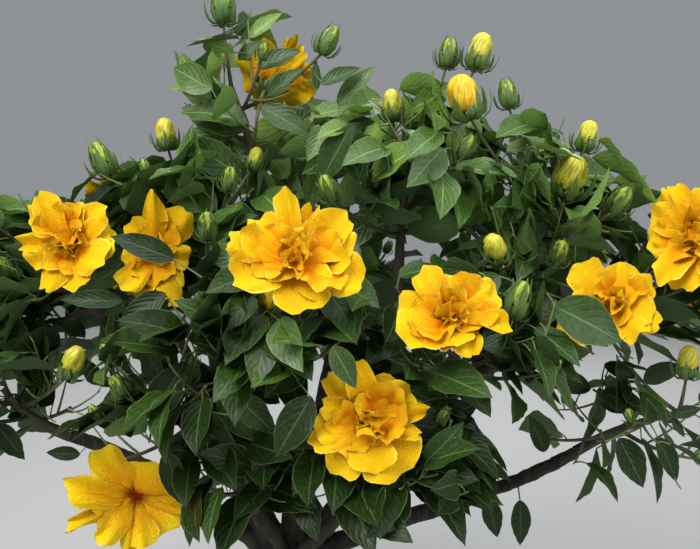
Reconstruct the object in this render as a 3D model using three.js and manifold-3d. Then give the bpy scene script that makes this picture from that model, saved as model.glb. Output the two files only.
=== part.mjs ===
// A hibiscus shrub with double golden blooms: a short flared trunk that forks low into spreading
// boughs, masses of leafy shoots round them, and large ruffled blooms on stalks of their own.
// Millimetres, +Z up. The origin is the middle of the flat cut under the trunk, at ground level.
// The crown's front faces -Y and its right side is +X.

import * as THREE from "three";
import { mergeVertices } from "three/addons/utils/BufferGeometryUtils.js";
import Module from "manifold-3d";

const wasm = await Module();
wasm.setup();
const { Vector3 } = THREE;
const vector = ([x, y, z]) => new Vector3(x, y, z);

// Driving dimensions.
const GAP = 0.3; // air between two pieces that meet
const CUT = 0.4; // growth of a limb that cuts the next one, so that its flats too stand GAP clear
const FORK = [8, 4, 250]; // where the trunk divides
const TRUNK = { foot: 34, waist: 27, head: 31, crownEnd: 19, flare: 22, flareHeight: 30, roots: 5 };
const TRUNK_TOP = [10, 5, 276];
const STEM_RADIUS = [4.4, 2.6]; // a mass's own stem, at its foot and its end
const SHOOT_RADIUS = [2.2, 1.5];
const STALK_RADIUS = [1.5, 2.2]; // a bloom's stalk, from the shoot to the calyx
const TWIG_SIDES = 3;
const TWIG_STEPS = 2;
const LEAF = { length: 88, width: 52, fold: 5, widest: 0.42, open: 1.05 };
const LEAF_SPACING = 24;
const LEAF_DROOP = 0.32;
const LEAF_FACE = { outward: 0.85, up: 0.6 }; // a blade's upper side faces out of the crown and up
const LEAF_TRIES = 9;
const RETRY_TURN = 0.7;
const LEAF_REACH = 42; // how far a blade may stand out of its mass's ellipsoid
const ROOM = 3; // air kept between a blade or twig and a limb or bloom beside it
const BORDER = 0.8; // air kept on each side of the border between two masses
const GOLDEN_TURN = 2.39996;
const FLAT = 0.02; // facets closer than this to one plane are merged
const BUD = { length: 27, radius: 8.5 };
const UP = new Vector3(0.03, 0.05, 1).normalize(); // a shoot never points exactly this way

// Each limb starts on its parent, a share of the way along it, passes near two points and ends at
// its tip. Radii are at its foot and its tip.
const LIMBS = [
  { name: "bough_left_low", on: "trunk", via: [[-82, -8, 322], [-165, -20, 382]], tip: [-250, -32, 424], radii: [13, 8] },
  { name: "bough_left_stem", on: "trunk", via: [[-40, 0, 335], [-66, 5, 412]], tip: [-84, 10, 520], radii: [18, 10] },
  { name: "branch_left", on: "bough_left_stem", at: 0.55, via: [[-115, -2, 480], [-165, -8, 525]], tip: [-215, -12, 560], radii: [9, 6] },
  { name: "branch_left_front", on: "bough_left_stem", at: 0.3, via: [[-68, -32, 392], [-86, -62, 418]], tip: [-98, -88, 438], radii: [8, 6] },
  { name: "bough_centre_stem", on: "trunk", via: [[12, -6, 385], [8, 12, 520]], tip: [-22, 14, 700], radii: [15, 7] },
  { name: "branch_centre_front", on: "bough_centre_stem", at: 0.3, via: [[13, -42, 430], [15, -76, 460]], tip: [16, -104, 488], radii: [8, 6] },
  { name: "branch_back_top", on: "bough_centre_stem", at: 0.45, via: [[25, 48, 530], [45, 80, 590]], tip: [60, 108, 648], radii: [9, 6] },
  { name: "bough_right", on: "trunk", via: [[106, -14, 382], [208, -50, 488]], tip: [315, -58, 545], radii: [15, 8] },
  { name: "branch_top", on: "bough_right", at: 0.35, via: [[128, -4, 460], [138, 4, 530]], tip: [140, 6, 605], radii: [10, 7] },
  { name: "branch_top_right", on: "bough_right", at: 0.68, via: [[255, -40, 545], [280, -22, 580]], tip: [300, -8, 618], radii: [8, 6] },
  { name: "branch_right_front", on: "bough_right", at: 0.5, via: [[176, -62, 456], [186, -84, 472]], tip: [194, -104, 492], radii: [7, 5.5] },
  { name: "bough_right_low", on: "trunk", via: [[120, -12, 308], [235, -28, 352]], tip: [345, -40, 407], radii: [14, 7] },
  { name: "bough_front", on: "trunk", via: [[36, -46, 300], [62, -82, 338]], tip: [82, -108, 378], radii: [11, 7] },
  { name: "branch_front_left", on: "trunk", via: [[-8, -34, 300], [-18, -60, 325]], tip: [-26, -84, 352], radii: [10, 6] },
  { name: "bough_back_left", on: "trunk", via: [[-44, 56, 322], [-92, 106, 400]], tip: [-140, 150, 480], radii: [15, 8] },
  { name: "bough_back", on: "trunk", via: [[20, 66, 325], [34, 130, 395]], tip: [48, 190, 465], radii: [14, 8] },
  { name: "bough_back_right", on: "trunk", via: [[72, 52, 322], [140, 102, 400]], tip: [215, 148, 478], radii: [15, 8] },
];

// Each mass grows on a limb's tip round its own stem, which ends at the given point, and fills the
// space nearest to its centre. A shoot runs to each bud listed, and the rest are dealt out evenly
// over the mass by its seed, as far as its reach.
const MASSES = [
  { name: "leaves_left_low", on: "bough_left_low", centre: [-335, -30, 480], end: [-330, -32, 480], reach: [105, 105, 75], shoots: 7, seed: 11, buds: [[-233, -92, 508]] },
  { name: "leaves_left", on: "branch_left", centre: [-290, -20, 640], end: [-285, -15, 635], reach: [115, 115, 80], shoots: 6, seed: 12, buds: [[-322, -42, 672], [-304, -66, 618]] },
  { name: "leaves_left_front", on: "branch_left_front", centre: [-118, -135, 490], end: [-116, -128, 490], reach: [95, 80, 75], shoots: 6, seed: 13, buds: [[-166, -114, 490], [-90, -124, 510]] },
  { name: "leaves_upper_left", on: "bough_left_stem", centre: [-112, 10, 690], end: [-105, 12, 670], reach: [105, 100, 75], shoots: 6, seed: 14, buds: [[-203, -22, 732], [-137, -2, 764], [-36, -12, 740], [-61, -42, 714], [-79, -82, 660]] },
  { name: "leaves_top_left", on: "bough_centre_stem", centre: [-30, 15, 825], end: [-60, -6, 835], reach: [75, 80, 85], shoots: 4, seed: 15, buds: [[-70, 2, 912], [48, -36, 870]] },
  { name: "leaves_centre_front", on: "branch_centre_front", centre: [10, -150, 565], end: [14, -148, 560], reach: [90, 80, 80], shoots: 9, seed: 16, buds: [[2, -164, 586]] },
  { name: "leaves_top", on: "branch_top", centre: [145, 0, 735], end: [150, 2, 730], reach: [100, 115, 90], shoots: 7, seed: 17, buds: [[62, -82, 702], [131, -2, 798], [195, 8, 862], [228, -2, 858], [210, -32, 750]] },
  { name: "leaves_top_right", on: "branch_top_right", centre: [315, 0, 700], end: [310, -4, 692], reach: [105, 115, 80], shoots: 7, seed: 18, buds: [[271, 8, 814], [219, -34, 796], [358, -2, 762], [328, -44, 708], [377, -54, 686], [245, -94, 636], [311, -74, 634]] },
  { name: "leaves_right", on: "bough_right", centre: [425, -30, 600], end: [416, -26, 596], reach: [110, 115, 75], shoots: 7, seed: 19, buds: [] },
  { name: "leaves_right_front", on: "branch_right_front", centre: [205, -145, 545], end: [203, -138, 542], reach: [90, 75, 75], shoots: 9, seed: 20, buds: [[247, -154, 582]] },
  { name: "leaves_right_low", on: "bough_right_low", centre: [395, -48, 432], end: [462, -50, 456], reach: [105, 75, 60], shoots: 5, seed: 21, buds: [[469, -52, 498]] },
  { name: "leaves_front_low", on: "bough_front", centre: [118, -140, 425], end: [112, -134, 430], reach: [95, 75, 65], shoots: 10, seed: 22, buds: [] },
  { name: "leaves_front_left", on: "branch_front_left", centre: [-38, -112, 395], end: [-34, -106, 400], reach: [70, 65, 60], shoots: 8, seed: 23, buds: [] },
  { name: "leaves_back_left", on: "bough_back_left", centre: [-205, 185, 590], end: [-195, 185, 580], reach: [130, 115, 110], shoots: 8, seed: 24, buds: [[-150, 220, 700], [-290, 120, 640]] },
  { name: "leaves_back", on: "bough_back", centre: [60, 255, 560], end: [58, 240, 560], reach: [115, 95, 110], shoots: 8, seed: 35, buds: [[0, 290, 655], [130, 320, 560]] },
  { name: "leaves_back_right", on: "bough_back_right", centre: [305, 185, 585], end: [290, 180, 570], reach: [130, 115, 105], shoots: 8, seed: 26, buds: [[330, 190, 706], [420, 150, 620]] },
  { name: "leaves_back_top", on: "branch_back_top", centre: [65, 150, 735], end: [64, 140, 725], reach: [110, 90, 85], shoots: 7, seed: 27, buds: [[-20, 170, 800], [150, 130, 810]] },
];

// Each bloom's middle, the way it faces, its width, and the mass whose shoot carries it. A hung
// bloom's stalk comes down to it from above.
const BLOOMS = [
  { name: "bloom_top", on: "leaves_top_left", at: [-14, 34, 852], facing: [0.25, 0.75, 0.55], width: 112 },
  { name: "bloom_left", on: "leaves_left", at: [-231, -84, 654], facing: [-0.1, -0.95, 0.25], width: 118 },
  { name: "bloom_left_inner", on: "leaves_upper_left", at: [-140, -62, 642], facing: [0.4, -0.85, 0.15], width: 106 },
  { name: "bloom_left_back", on: "leaves_upper_left", at: [-212, 92, 716], facing: [-0.35, 0.45, 0.8], width: 106 },
  { name: "bloom_centre", on: "leaves_centre_front", at: [28, -215, 652], facing: [0.05, -0.9, 0.4], width: 134 },
  { name: "bloom_right_centre", on: "leaves_right_front", at: [177, -205, 588], facing: [-0.05, -0.8, 0.6], width: 126 },
  { name: "bloom_low", on: "leaves_front_low", at: [97, -197, 482], facing: [0.1, -0.97, 0.2], width: 122 },
  { name: "bloom_low_left", on: "leaves_left_front", at: [-160, -162, 391], facing: [0.45, -0.88, 0.1], width: 120, hung: true },
  { name: "bloom_right", on: "leaves_right_low", at: [375, -100, 592], facing: [-0.2, -0.83, 0.48], width: 116 },
  { name: "bloom_right_edge", on: "leaves_right", at: [446, -125, 662], facing: [-0.45, -0.83, 0.3], width: 122 },
  { name: "bloom_side_right", on: "leaves_right", at: [530, 85, 588], facing: [0.92, 0.3, 0.25], width: 118 },
  { name: "bloom_side_left", on: "leaves_left", at: [-412, 62, 600], facing: [-0.92, 0.25, 0.3], width: 114 },
  { name: "bloom_back_left", on: "leaves_back_left", at: [-262, 288, 565], facing: [-0.5, 0.8, 0.25], width: 118 },
  { name: "bloom_back", on: "leaves_back", at: [75, 352, 612], facing: [0.1, 0.95, 0.3], width: 124 },
  { name: "bloom_back_right", on: "leaves_back_right", at: [352, 292, 545], facing: [0.45, 0.85, 0.2], width: 116 },
  { name: "bloom_back_top", on: "leaves_back_top", at: [130, 238, 738], facing: [0.2, 0.7, 0.68], width: 112 },
];
const CALYX_BACK = 0.3; // the calyx's foot lies this share of the width behind the bloom's middle
const HEART_BACK = 0.12; // and the heart, where the petals meet
const CALYX_RADIUS = [0.03, 0.075];
const BLOOM_ROOM = [0.52, 0.36]; // half the space that a bloom fills, across it and along its facing
const STALK_BACK = 30;
const STALK_DROP = 28;

// A bloom's head as a turned profile, from its back over three rims of petals to its middle. Radii
// and heights are shares of the width, the heights from the heart along the way the bloom faces. A
// rim is drawn in at every notch between two petals, and the rims' notches stand beside each other.
const PETALS = 5;
const PETAL_PARTS = 2; // segments across one petal
const PETAL_LIFT = 0.05; // how much higher every second petal's rim stands
const HEAD_PROFILE = [
  { radius: 0, height: -0.02 },
  { radius: 0.26, height: 0.05 },
  { radius: 0.5, height: 0.12, notch: 0.6, place: 0 },
  { radius: 0.25, height: 0.13 },
  { radius: 0.38, height: 0.3, notch: 0.68, place: 1 },
  { radius: 0.12, height: 0.2 },
  { radius: 0.2, height: 0.4, notch: 0.55, place: 0 },
  { radius: 0, height: 0.26 },
];

const COLOURS = {
  bark: { color: 0x4a3d30, roughness: 0.9 },
  leaves: { color: 0x2f5a2c, roughness: 0.5 },
  petals: { color: 0xf7b01c, roughness: 0.6 },
};
const MATERIALS = Object.fromEntries(
  Object.entries(COLOURS).map(([name, look]) => [name, new THREE.MeshStandardMaterial({ ...look, metalness: 0 })]),
);

// A repeatable stream of numbers from 0 to 1.
function seeded(seed) {
  let state = seed >>> 0;
  const next = () => {
    state = (Math.imul(state, 1664525) + 1013904223) >>> 0;
    return state / 2 ** 32;
  };
  for (let i = 0; i < 4; i++) next();
  return next;
}

// A closed geometry as a solid that can be joined and cut.
function solid(geometry) {
  const bare = geometry.index ? geometry.toNonIndexed() : geometry.clone();
  bare.deleteAttribute("normal");
  bare.deleteAttribute("uv");
  const merged = mergeVertices(bare, 1e-3);
  return new wasm.Manifold(
    new wasm.Mesh({
      numProp: 3,
      vertProperties: merged.getAttribute("position").array,
      triVerts: new Uint32Array(merged.index.array),
    }),
  );
}

// The largest piece of a solid, so that a scrap cut loose is dropped.
function largest(joined) {
  return joined.decompose().reduce((best, piece) => (piece.volume() > best.volume() ? piece : best));
}

// The largest piece with its nearly flat groups of facets merged.
const merged = (joined) => largest(joined).asOriginal().simplify(FLAT);

function meshOf(name, joined, material) {
  const { vertProperties, triVerts } = joined.getMesh();
  const geometry = new THREE.BufferGeometry();
  geometry.setAttribute("position", new THREE.BufferAttribute(vertProperties, 3));
  geometry.setIndex(new THREE.BufferAttribute(triVerts, 1));
  geometry.computeVertexNormals();
  const mesh = new THREE.Mesh(geometry, material);
  mesh.name = name;
  return mesh;
}

// A closed tube along a curve. radiusAt takes the share of the way along and the angle round.
function tube(curve, radiusAt, sides, steps) {
  const geometry = new THREE.CylinderGeometry(1, 1, 1, sides, steps);
  const frames = curve.computeFrenetFrames(steps);
  const position = geometry.getAttribute("position");
  for (let i = 0; i < position.count; i++) {
    const step = Math.round((position.getY(i) + 0.5) * steps);
    const angle = Math.atan2(position.getZ(i), position.getX(i));
    const onRim = Math.hypot(position.getX(i), position.getZ(i)) > 0.5 ? 1 : 0;
    const radius = onRim * radiusAt(step / steps, angle);
    const point = curve
      .getPointAt(step / steps)
      .addScaledVector(frames.binormals[step], radius * Math.cos(angle))
      .addScaledVector(frames.normals[step], radius * Math.sin(angle));
    position.setXYZ(i, point.x, point.y, point.z);
  }
  return solid(geometry);
}

const tapered = ([foot, tip]) => (share) => THREE.MathUtils.lerp(foot, tip, share);

// The cubic that passes through four points at equal shares of its parameter.
function through(a, b, c, d) {
  const near = new Vector3()
    .addScaledVector(a, -5 / 6).addScaledVector(b, 3).addScaledVector(c, -1.5).addScaledVector(d, 1 / 3);
  const far = new Vector3()
    .addScaledVector(a, 1 / 3).addScaledVector(b, -1.5).addScaledVector(c, 3).addScaledVector(d, -5 / 6);
  return new THREE.CubicBezierCurve3(a, near, far, d);
}

// The trunk leans a little from a flared foot with root ridges up to its swollen head.
const trunkCurve = new THREE.CubicBezierCurve3(
  new Vector3(0, 0, 0), new Vector3(0, 0, 80), new Vector3(3, 0, 180), vector(TRUNK_TOP),
);
function trunkRadius(share, angle) {
  const height = share * TRUNK_TOP[2];
  const ridges = 1 + 0.3 * Math.cos(TRUNK.roots * angle);
  const flare = TRUNK.flare * Math.exp(-height / TRUNK.flareHeight) * ridges;
  const body = share < 0.5
    ? THREE.MathUtils.lerp(TRUNK.foot, TRUNK.waist, share / 0.5)
    : THREE.MathUtils.lerp(TRUNK.waist, TRUNK.head, (share - 0.5) / 0.5);
  return share > 0.99 ? TRUNK.crownEnd : body + flare;
}
const TRUNK_SIDES = 10;
const TRUNK_STEPS = 8;
function trunkSolid(grow) {
  const { v0, v1, v2, v3 } = trunkCurve;
  const longer = new THREE.CubicBezierCurve3(v0, v1, v2, v3.clone().add(new Vector3(0, 0, grow)));
  return tube(longer, (share, angle) => trunkRadius(share, angle) + grow, TRUNK_SIDES, TRUNK_STEPS);
}

// The limbs' curves, each from its parent's middle line.
const curves = { trunk: trunkCurve };
for (const limb of LIMBS) {
  const start = limb.on === "trunk" ? vector(FORK) : curves[limb.on].getPoint(limb.at);
  curves[limb.name] = through(start, vector(limb.via[0]), vector(limb.via[1]), vector(limb.tip));
}

// Every limb is cut clear of the trunk and of the limbs before it, which keep their full shape.
const LIMB_SIDES = 6;
const LIMB_STEPS = 5;
function limbSolids() {
  const made = [["trunk", trunkSolid(0)]];
  const grown = [trunkSolid(CUT)];
  for (const { name, radii } of LIMBS) {
    const whole = tube(curves[name], tapered(radii), LIMB_SIDES, LIMB_STEPS);
    const cut = grown.reduce((left, other) => left.subtract(other), whole);
    const wider = tapered(radii.map((radius) => radius + CUT));
    made.push([name, merged(cut)]);
    grown.push(tube(curves[name], wider, LIMB_SIDES, LIMB_STEPS));
  }
  return made;
}

// A bloom's foot, and the end of the shoot that carries its stalk.
function bloomFrame(bloom) {
  const facing = vector(bloom.facing).normalize();
  const foot = vector(bloom.at).addScaledVector(facing, -CALYX_BACK * bloom.width);
  const drop = bloom.hung ? STALK_DROP : -STALK_DROP;
  const shootEnd = foot.clone().addScaledVector(facing, -STALK_BACK).add(new Vector3(0, 0, drop));
  return { facing, foot, shootEnd };
}

// A mass's stem starts a gap beyond its limb's tip and leaves it in line.
function stemCurve(mass) {
  const limb = curves[mass.on];
  const along = limb.getTangent(1);
  const start = limb.getPoint(1).addScaledVector(along, GAP);
  const end = vector(mass.end);
  const control = start.clone().addScaledVector(along, start.distanceTo(end) / 2);
  return new THREE.QuadraticBezierCurve3(start, control, end);
}

// A shoot leaves its stem sideways and bends upwards. Low ones leave the stem lower down.
function shootCurve(mass, stem, tip) {
  const height = (tip.z - mass.centre[2]) / mass.reach[2];
  const start = stem.getPoint(THREE.MathUtils.clamp(0.6 + 0.4 * height, 0.2, 1));
  const control = start.clone().lerp(tip, 0.5);
  control.z -= 0.14 * start.distanceTo(tip);
  return new THREE.QuadraticBezierCurve3(start, control, tip);
}

const sampled = (curve, count) =>
  Array.from({ length: count + 1 }, (_, i) => curve.getPoint(i / count));

// What a blade or twig keeps clear of: limbs, and the stems and named shoots of other masses.
const limbSpaces = LIMBS.flatMap(({ name, radii }) =>
  sampled(curves[name], 48).map((point, i) => ({ point, radius: tapered(radii)(i / 48) })),
);
limbSpaces.push(...sampled(trunkCurve, 24).map((point) => ({ point, radius: TRUNK.head })));

const growth = MASSES.map((mass) => {
  const stem = stemCurve(mass);
  const carried = BLOOMS.filter((bloom) => bloom.on === mass.name).map((bloom) => bloomFrame(bloom).shootEnd);
  const named = [
    ...carried.map((tip) => ({ curve: shootCurve(mass, stem, tip), bud: false })),
    ...mass.buds.map((tip) => ({ curve: shootCurve(mass, stem, vector(tip)), bud: true })),
  ];
  const spaces = [stem, ...named.map((shoot) => shoot.curve)].flatMap((curve) =>
    sampled(curve, 32).map((point) => ({ point, radius: STEM_RADIUS[0] })),
  );
  return { mass, centre: vector(mass.centre), stem, named, spaces };
});

// A bloom's stalk carries on from its shoot and comes to the calyx from behind.
function stalkCurve(bloom) {
  const { facing, foot, shootEnd } = bloomFrame(bloom);
  const { mass, stem } = growth.find((own) => own.mass.name === bloom.on);
  const along = shootCurve(mass, stem, shootEnd).getTangent(1);
  const start = shootEnd.clone().addScaledVector(along, GAP);
  const before = foot.clone().addScaledVector(facing, -14);
  return new THREE.CubicBezierCurve3(start, start.clone().addScaledVector(along, 16), before, foot);
}
const stalkSpaces = BLOOMS.flatMap((bloom) =>
  sampled(stalkCurve(bloom), 12).map((point) => ({ point, radius: STALK_RADIUS[1] })),
);

const bloomSpaces = BLOOMS.map((bloom) => ({
  middle: vector(bloom.at),
  facing: vector(bloom.facing).normalize(),
  across: BLOOM_ROOM[0] * bloom.width + ROOM,
  deep: BLOOM_ROOM[1] * bloom.width + ROOM,
}));

function inBloom(point) {
  return bloomSpaces.some(({ middle, facing, across, deep }) => {
    const from = point.clone().sub(middle);
    const ahead = from.dot(facing);
    return (from.lengthSq() - ahead * ahead) / across ** 2 + (ahead / deep) ** 2 < 1;
  });
}

// A point is in a mass's space if its centre is nearer than every other mass's.
function inSpace(point, own) {
  return growth.every(({ centre }) => {
    if (centre === own.centre) return true;
    const lead = point.distanceToSquared(centre) - point.distanceToSquared(own.centre);
    return lead / (2 * centre.distanceTo(own.centre)) > BORDER;
  });
}

function withinReach(point, own) {
  const from = point.clone().sub(own.centre).toArray();
  return from.reduce((sum, part, i) => sum + (part / (own.mass.reach[i] + LEAF_REACH)) ** 2, 0) < 1;
}

function isClear(points, own) {
  const others = growth.filter((other) => other !== own).flatMap((other) => other.spaces);
  return points.every(
    (point) =>
      !inBloom(point) &&
      [...limbSpaces, ...stalkSpaces, ...others].every((space) => space.point.distanceTo(point) > space.radius + ROOM),
  );
}

// Shoots dealt out evenly round a mass, from its top to below its middle.
function dealtShoots(own) {
  const { mass, centre, stem } = own;
  const random = seeded(mass.seed);
  const shoots = [];
  for (let i = 0; i < mass.shoots; i++) {
    const rise = 0.95 - (1.5 * (i + 0.5 * random())) / mass.shoots;
    const turn = mass.seed + i * GOLDEN_TURN + 0.4 * random();
    const flat = Math.sqrt(1 - rise * rise);
    const out = 0.78 + 0.22 * random();
    const tip = new Vector3(Math.cos(turn) * flat, Math.sin(turn) * flat, rise)
      .multiply(vector(mass.reach))
      .multiplyScalar(out)
      .add(centre);
    const curve = shootCurve(mass, stem, tip);
    const points = sampled(curve, 12).slice(2);
    const fits = points.every((point) => inSpace(point, own)) && isClear(points, own);
    if (fits) shoots.push({ curve, bud: i % 3 === 1 });
  }
  return shoots;
}

// The middle of a twig of a few straight pieces, a share of the way along it.
function onTwig(curve, along, steps) {
  const piece = Math.min(Math.floor(along * steps), steps - 1);
  const near = curve.getPointAt(piece / steps);
  return near.lerp(curve.getPointAt((piece + 1) / steps), along * steps - piece);
}

// One leaf's frame: its foot in the twig, the way it points and the way its upper side faces.
function leafFrame(curve, along, turn, roll, length) {
  const foot = onTwig(curve, along, TWIG_STEPS);
  const ahead = curve.getTangentAt(along);
  const side = new Vector3().crossVectors(ahead, UP).normalize();
  const out = side.clone().multiplyScalar(Math.cos(turn));
  out.addScaledVector(side.cross(ahead), Math.sin(turn));
  const direction = ahead.multiplyScalar(Math.cos(LEAF.open)).addScaledVector(out, Math.sin(LEAF.open));
  direction.z -= LEAF_DROOP;
  direction.normalize();
  const outward = new Vector3(foot.x, foot.y, 0).normalize();
  const face = outward.multiplyScalar(LEAF_FACE.outward).addScaledVector(UP, LEAF_FACE.up);
  face.addScaledVector(direction, -face.dot(direction)).normalize().applyAxisAngle(direction, roll);
  const across = new Vector3().crossVectors(direction, face);
  return { foot, direction, face, across, length };
}

const onLeaf = ({ foot, direction, face, across, length }, share, sideways, height) =>
  foot.clone()
    .addScaledVector(direction, share * length)
    .addScaledVector(across, sideways * (LEAF.width / LEAF.length) * length)
    .addScaledVector(face, height);

// Points over a blade, where it is tested against its neighbours.
function leafPoints(frame) {
  return [0.12, 0.24, 0.36, 0.48, 0.6, 0.72, 0.86, 1].flatMap((share) => {
    const open = share < LEAF.widest ? share / LEAF.widest : (1 - share) / (1 - LEAF.widest);
    return [-1, -0.5, 0, 0.5, 1].map((part) =>
      onLeaf(frame, share, (part * open) / 2, Math.abs(part) * open * LEAF.fold),
    );
  });
}

// A blade is a tetrahedron drawn out to a kite: its midrib is the lower edge, from the foot sunk in
// the twig to the tip, and its sides are folded up from it.
function leafSolid(frame) {
  const geometry = new THREE.TetrahedronGeometry(Math.sqrt(3));
  const position = geometry.getAttribute("position");
  for (let i = 0; i < position.count; i++) {
    const [x, y, z] = [position.getX(i), position.getY(i), position.getZ(i)];
    const point = z > 0 ? onLeaf(frame, LEAF.widest, x / 2, LEAF.fold) : onLeaf(frame, (1 + y) / 2, 0, 0);
    position.setXYZ(i, point.x, point.y, point.z);
  }
  return solid(geometry);
}

// The leaves along one shoot, turned by the golden angle. One that would leave the mass's space, or
// touch a limb, a bloom or what has grown there before it, is tried at other turns, then skipped.
function leavesOn(curve, own, seed, from, to, grown) {
  const random = seeded(seed);
  const count = Math.max(2, Math.round((curve.getLength() * (to - from)) / LEAF_SPACING));
  for (let i = 0; i < count; i++) {
    const along = from + ((to - from) * (i + 0.8)) / count;
    const turn = seed + i * GOLDEN_TURN;
    const roll = 0.9 * (random() - 0.5);
    const length = LEAF.length * (0.82 + 0.3 * random()) * (i === count - 1 ? 0.85 : 1);
    for (let attempt = 0; attempt < LEAF_TRIES; attempt++) {
      const frame = leafFrame(curve, along, turn + attempt * RETRY_TURN, roll, length);
      const points = leafPoints(frame);
      if (!points.every((point) => inSpace(point, own) && withinReach(point, own))) continue;
      if (!isClear(points, own)) continue;
      const blade = leafSolid(frame);
      if (grown.some((other) => other.curve !== curve && !blade.intersect(other.solid).isEmpty())) continue;
      grown.push({ solid: blade });
      break;
    }
  }
}

// A pointed bud, round in section, that carries on from its shoot.
function budSolid(curve) {
  const profile = [[0, -5], [1, 9], [0, BUD.length]].map(
    ([radius, height]) => new THREE.Vector2(radius * BUD.radius, height),
  );
  const geometry = new THREE.LatheGeometry(profile, 5);
  const turn = new THREE.Quaternion().setFromUnitVectors(new Vector3(0, 1, 0), curve.getTangent(1));
  geometry.applyQuaternion(turn);
  geometry.translate(...curve.getPoint(1).toArray());
  return solid(geometry);
}

const twig = (curve, radii) => tube(curve, tapered(radii), TWIG_SIDES, TWIG_STEPS);

// A mass: its stem and shoots, then the leaves on each, joined into one solid.
function massSolid(own) {
  const { mass, stem, named } = own;
  const shoots = [...named, ...dealtShoots(own)];
  const grown = [{ solid: twig(stem, STEM_RADIUS), curve: stem }];
  grown.push(...shoots.map(({ curve }) => ({ solid: twig(curve, SHOOT_RADIUS), curve })));
  grown.push(...shoots.filter(({ bud }) => bud).map(({ curve }) => ({ solid: budSolid(curve) })));
  shoots.forEach(({ curve, bud }, i) =>
    leavesOn(curve, own, mass.seed * 100 + i + 1, 0.2, bud ? 0.8 : 0.92, grown),
  );
  leavesOn(stem, own, mass.seed * 100, 0.3, 1, grown);
  return wasm.Manifold.union(grown.map((part) => part.solid));
}

// The ruffled head of a bloom, turned from its profile about the way it faces.
function headSolid(heart, facing, width) {
  const sides = PETALS * PETAL_PARTS;
  const profile = HEAD_PROFILE.map((ring) => new THREE.Vector2(ring.radius, ring.height));
  const geometry = new THREE.LatheGeometry(profile, sides);
  const position = geometry.getAttribute("position");
  const side = new Vector3().crossVectors(facing, UP).normalize();
  const other = side.clone().cross(facing);
  for (let i = 0; i < position.count; i++) {
    const { radius, height, notch, place } = HEAD_PROFILE[i % HEAD_PROFILE.length];
    const segment = Math.floor(i / HEAD_PROFILE.length) % sides;
    const drawn = notch && segment % PETAL_PARTS === place ? notch : 1;
    const lift = notch ? PETAL_LIFT * (Math.floor(segment / PETAL_PARTS) % 2) : 0;
    const angle = (2 * Math.PI * segment) / sides;
    const point = heart.clone()
      .addScaledVector(facing, (height + lift) * width)
      .addScaledVector(side, radius * drawn * Math.sin(angle) * width)
      .addScaledVector(other, radius * drawn * Math.cos(angle) * width);
    position.setXYZ(i, point.x, point.y, point.z);
  }
  return solid(geometry);
}

// A bloom: its stalk from the shoot's end, its calyx and its head.
function bloomSolid(bloom) {
  const { facing, foot } = bloomFrame(bloom);
  const heart = vector(bloom.at).addScaledVector(facing, -HEART_BACK * bloom.width);
  const calyxCurve = new THREE.LineCurve3(foot.clone().addScaledVector(facing, -3), heart);
  const calyx = tube(calyxCurve, tapered(CALYX_RADIUS.map((share) => share * bloom.width)), 5, 1);
  const stalk = tube(stalkCurve(bloom), tapered(STALK_RADIUS), TWIG_SIDES, 3);
  return wasm.Manifold.union([stalk, calyx, headSolid(heart, facing, bloom.width)]);
}

const shrub = new THREE.Group();
shrub.name = "hibiscus_shrub";
for (const [name, made] of limbSolids()) shrub.add(meshOf(name, made, MATERIALS.bark));
for (const own of growth) shrub.add(meshOf(own.mass.name, merged(massSolid(own)), MATERIALS.leaves));
for (const bloom of BLOOMS) shrub.add(meshOf(bloom.name, merged(bloomSolid(bloom)), MATERIALS.petals));

export default shrub;
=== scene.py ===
# %% [markdown]
# # A hibiscus shrub with double golden blooms
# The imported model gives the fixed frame: a trunk, its boughs, the leafy masses round them and the
# blooms. Here every one of them gets its finished surface, in metres, in the same place.

# %% Load the frame
import math
from collections import namedtuple

import bmesh
import bpy
import numpy as np
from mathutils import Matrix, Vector, noise


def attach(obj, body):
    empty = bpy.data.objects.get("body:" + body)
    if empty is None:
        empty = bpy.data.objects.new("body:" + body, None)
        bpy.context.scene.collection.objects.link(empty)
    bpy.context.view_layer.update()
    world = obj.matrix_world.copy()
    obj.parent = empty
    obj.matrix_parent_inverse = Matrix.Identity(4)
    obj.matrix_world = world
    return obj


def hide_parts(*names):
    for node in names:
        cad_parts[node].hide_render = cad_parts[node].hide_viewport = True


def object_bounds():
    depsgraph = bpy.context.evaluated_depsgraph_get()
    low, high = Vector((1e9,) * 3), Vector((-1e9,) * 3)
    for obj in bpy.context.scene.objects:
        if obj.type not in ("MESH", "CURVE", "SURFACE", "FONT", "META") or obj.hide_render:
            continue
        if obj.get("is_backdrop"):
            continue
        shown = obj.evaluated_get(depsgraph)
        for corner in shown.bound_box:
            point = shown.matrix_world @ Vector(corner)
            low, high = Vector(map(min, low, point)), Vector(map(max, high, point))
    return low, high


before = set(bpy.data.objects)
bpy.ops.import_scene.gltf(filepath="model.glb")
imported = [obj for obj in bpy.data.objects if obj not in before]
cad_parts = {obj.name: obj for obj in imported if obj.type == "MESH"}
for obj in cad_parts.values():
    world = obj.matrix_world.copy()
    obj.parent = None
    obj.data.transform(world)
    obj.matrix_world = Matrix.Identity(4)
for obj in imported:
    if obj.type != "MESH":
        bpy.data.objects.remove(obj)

cad_box = [list(corner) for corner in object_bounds()]
print(len(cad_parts), "nodes, box", [[round(value, 3) for value in corner] for corner in cad_box])

# %% [markdown]
# ## The camera
# The photograph looks at the crown almost level, from a little above its middle. The shrub's sides
# and its foot leave the picture, so the camera stands close, at one metre from the trunk, and looks
# four degrees down. It is placed so that the ten blooms of this side fall where the photograph has
# them. A longer lens from further back would show the same crown flatter, with less of its top.

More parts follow.
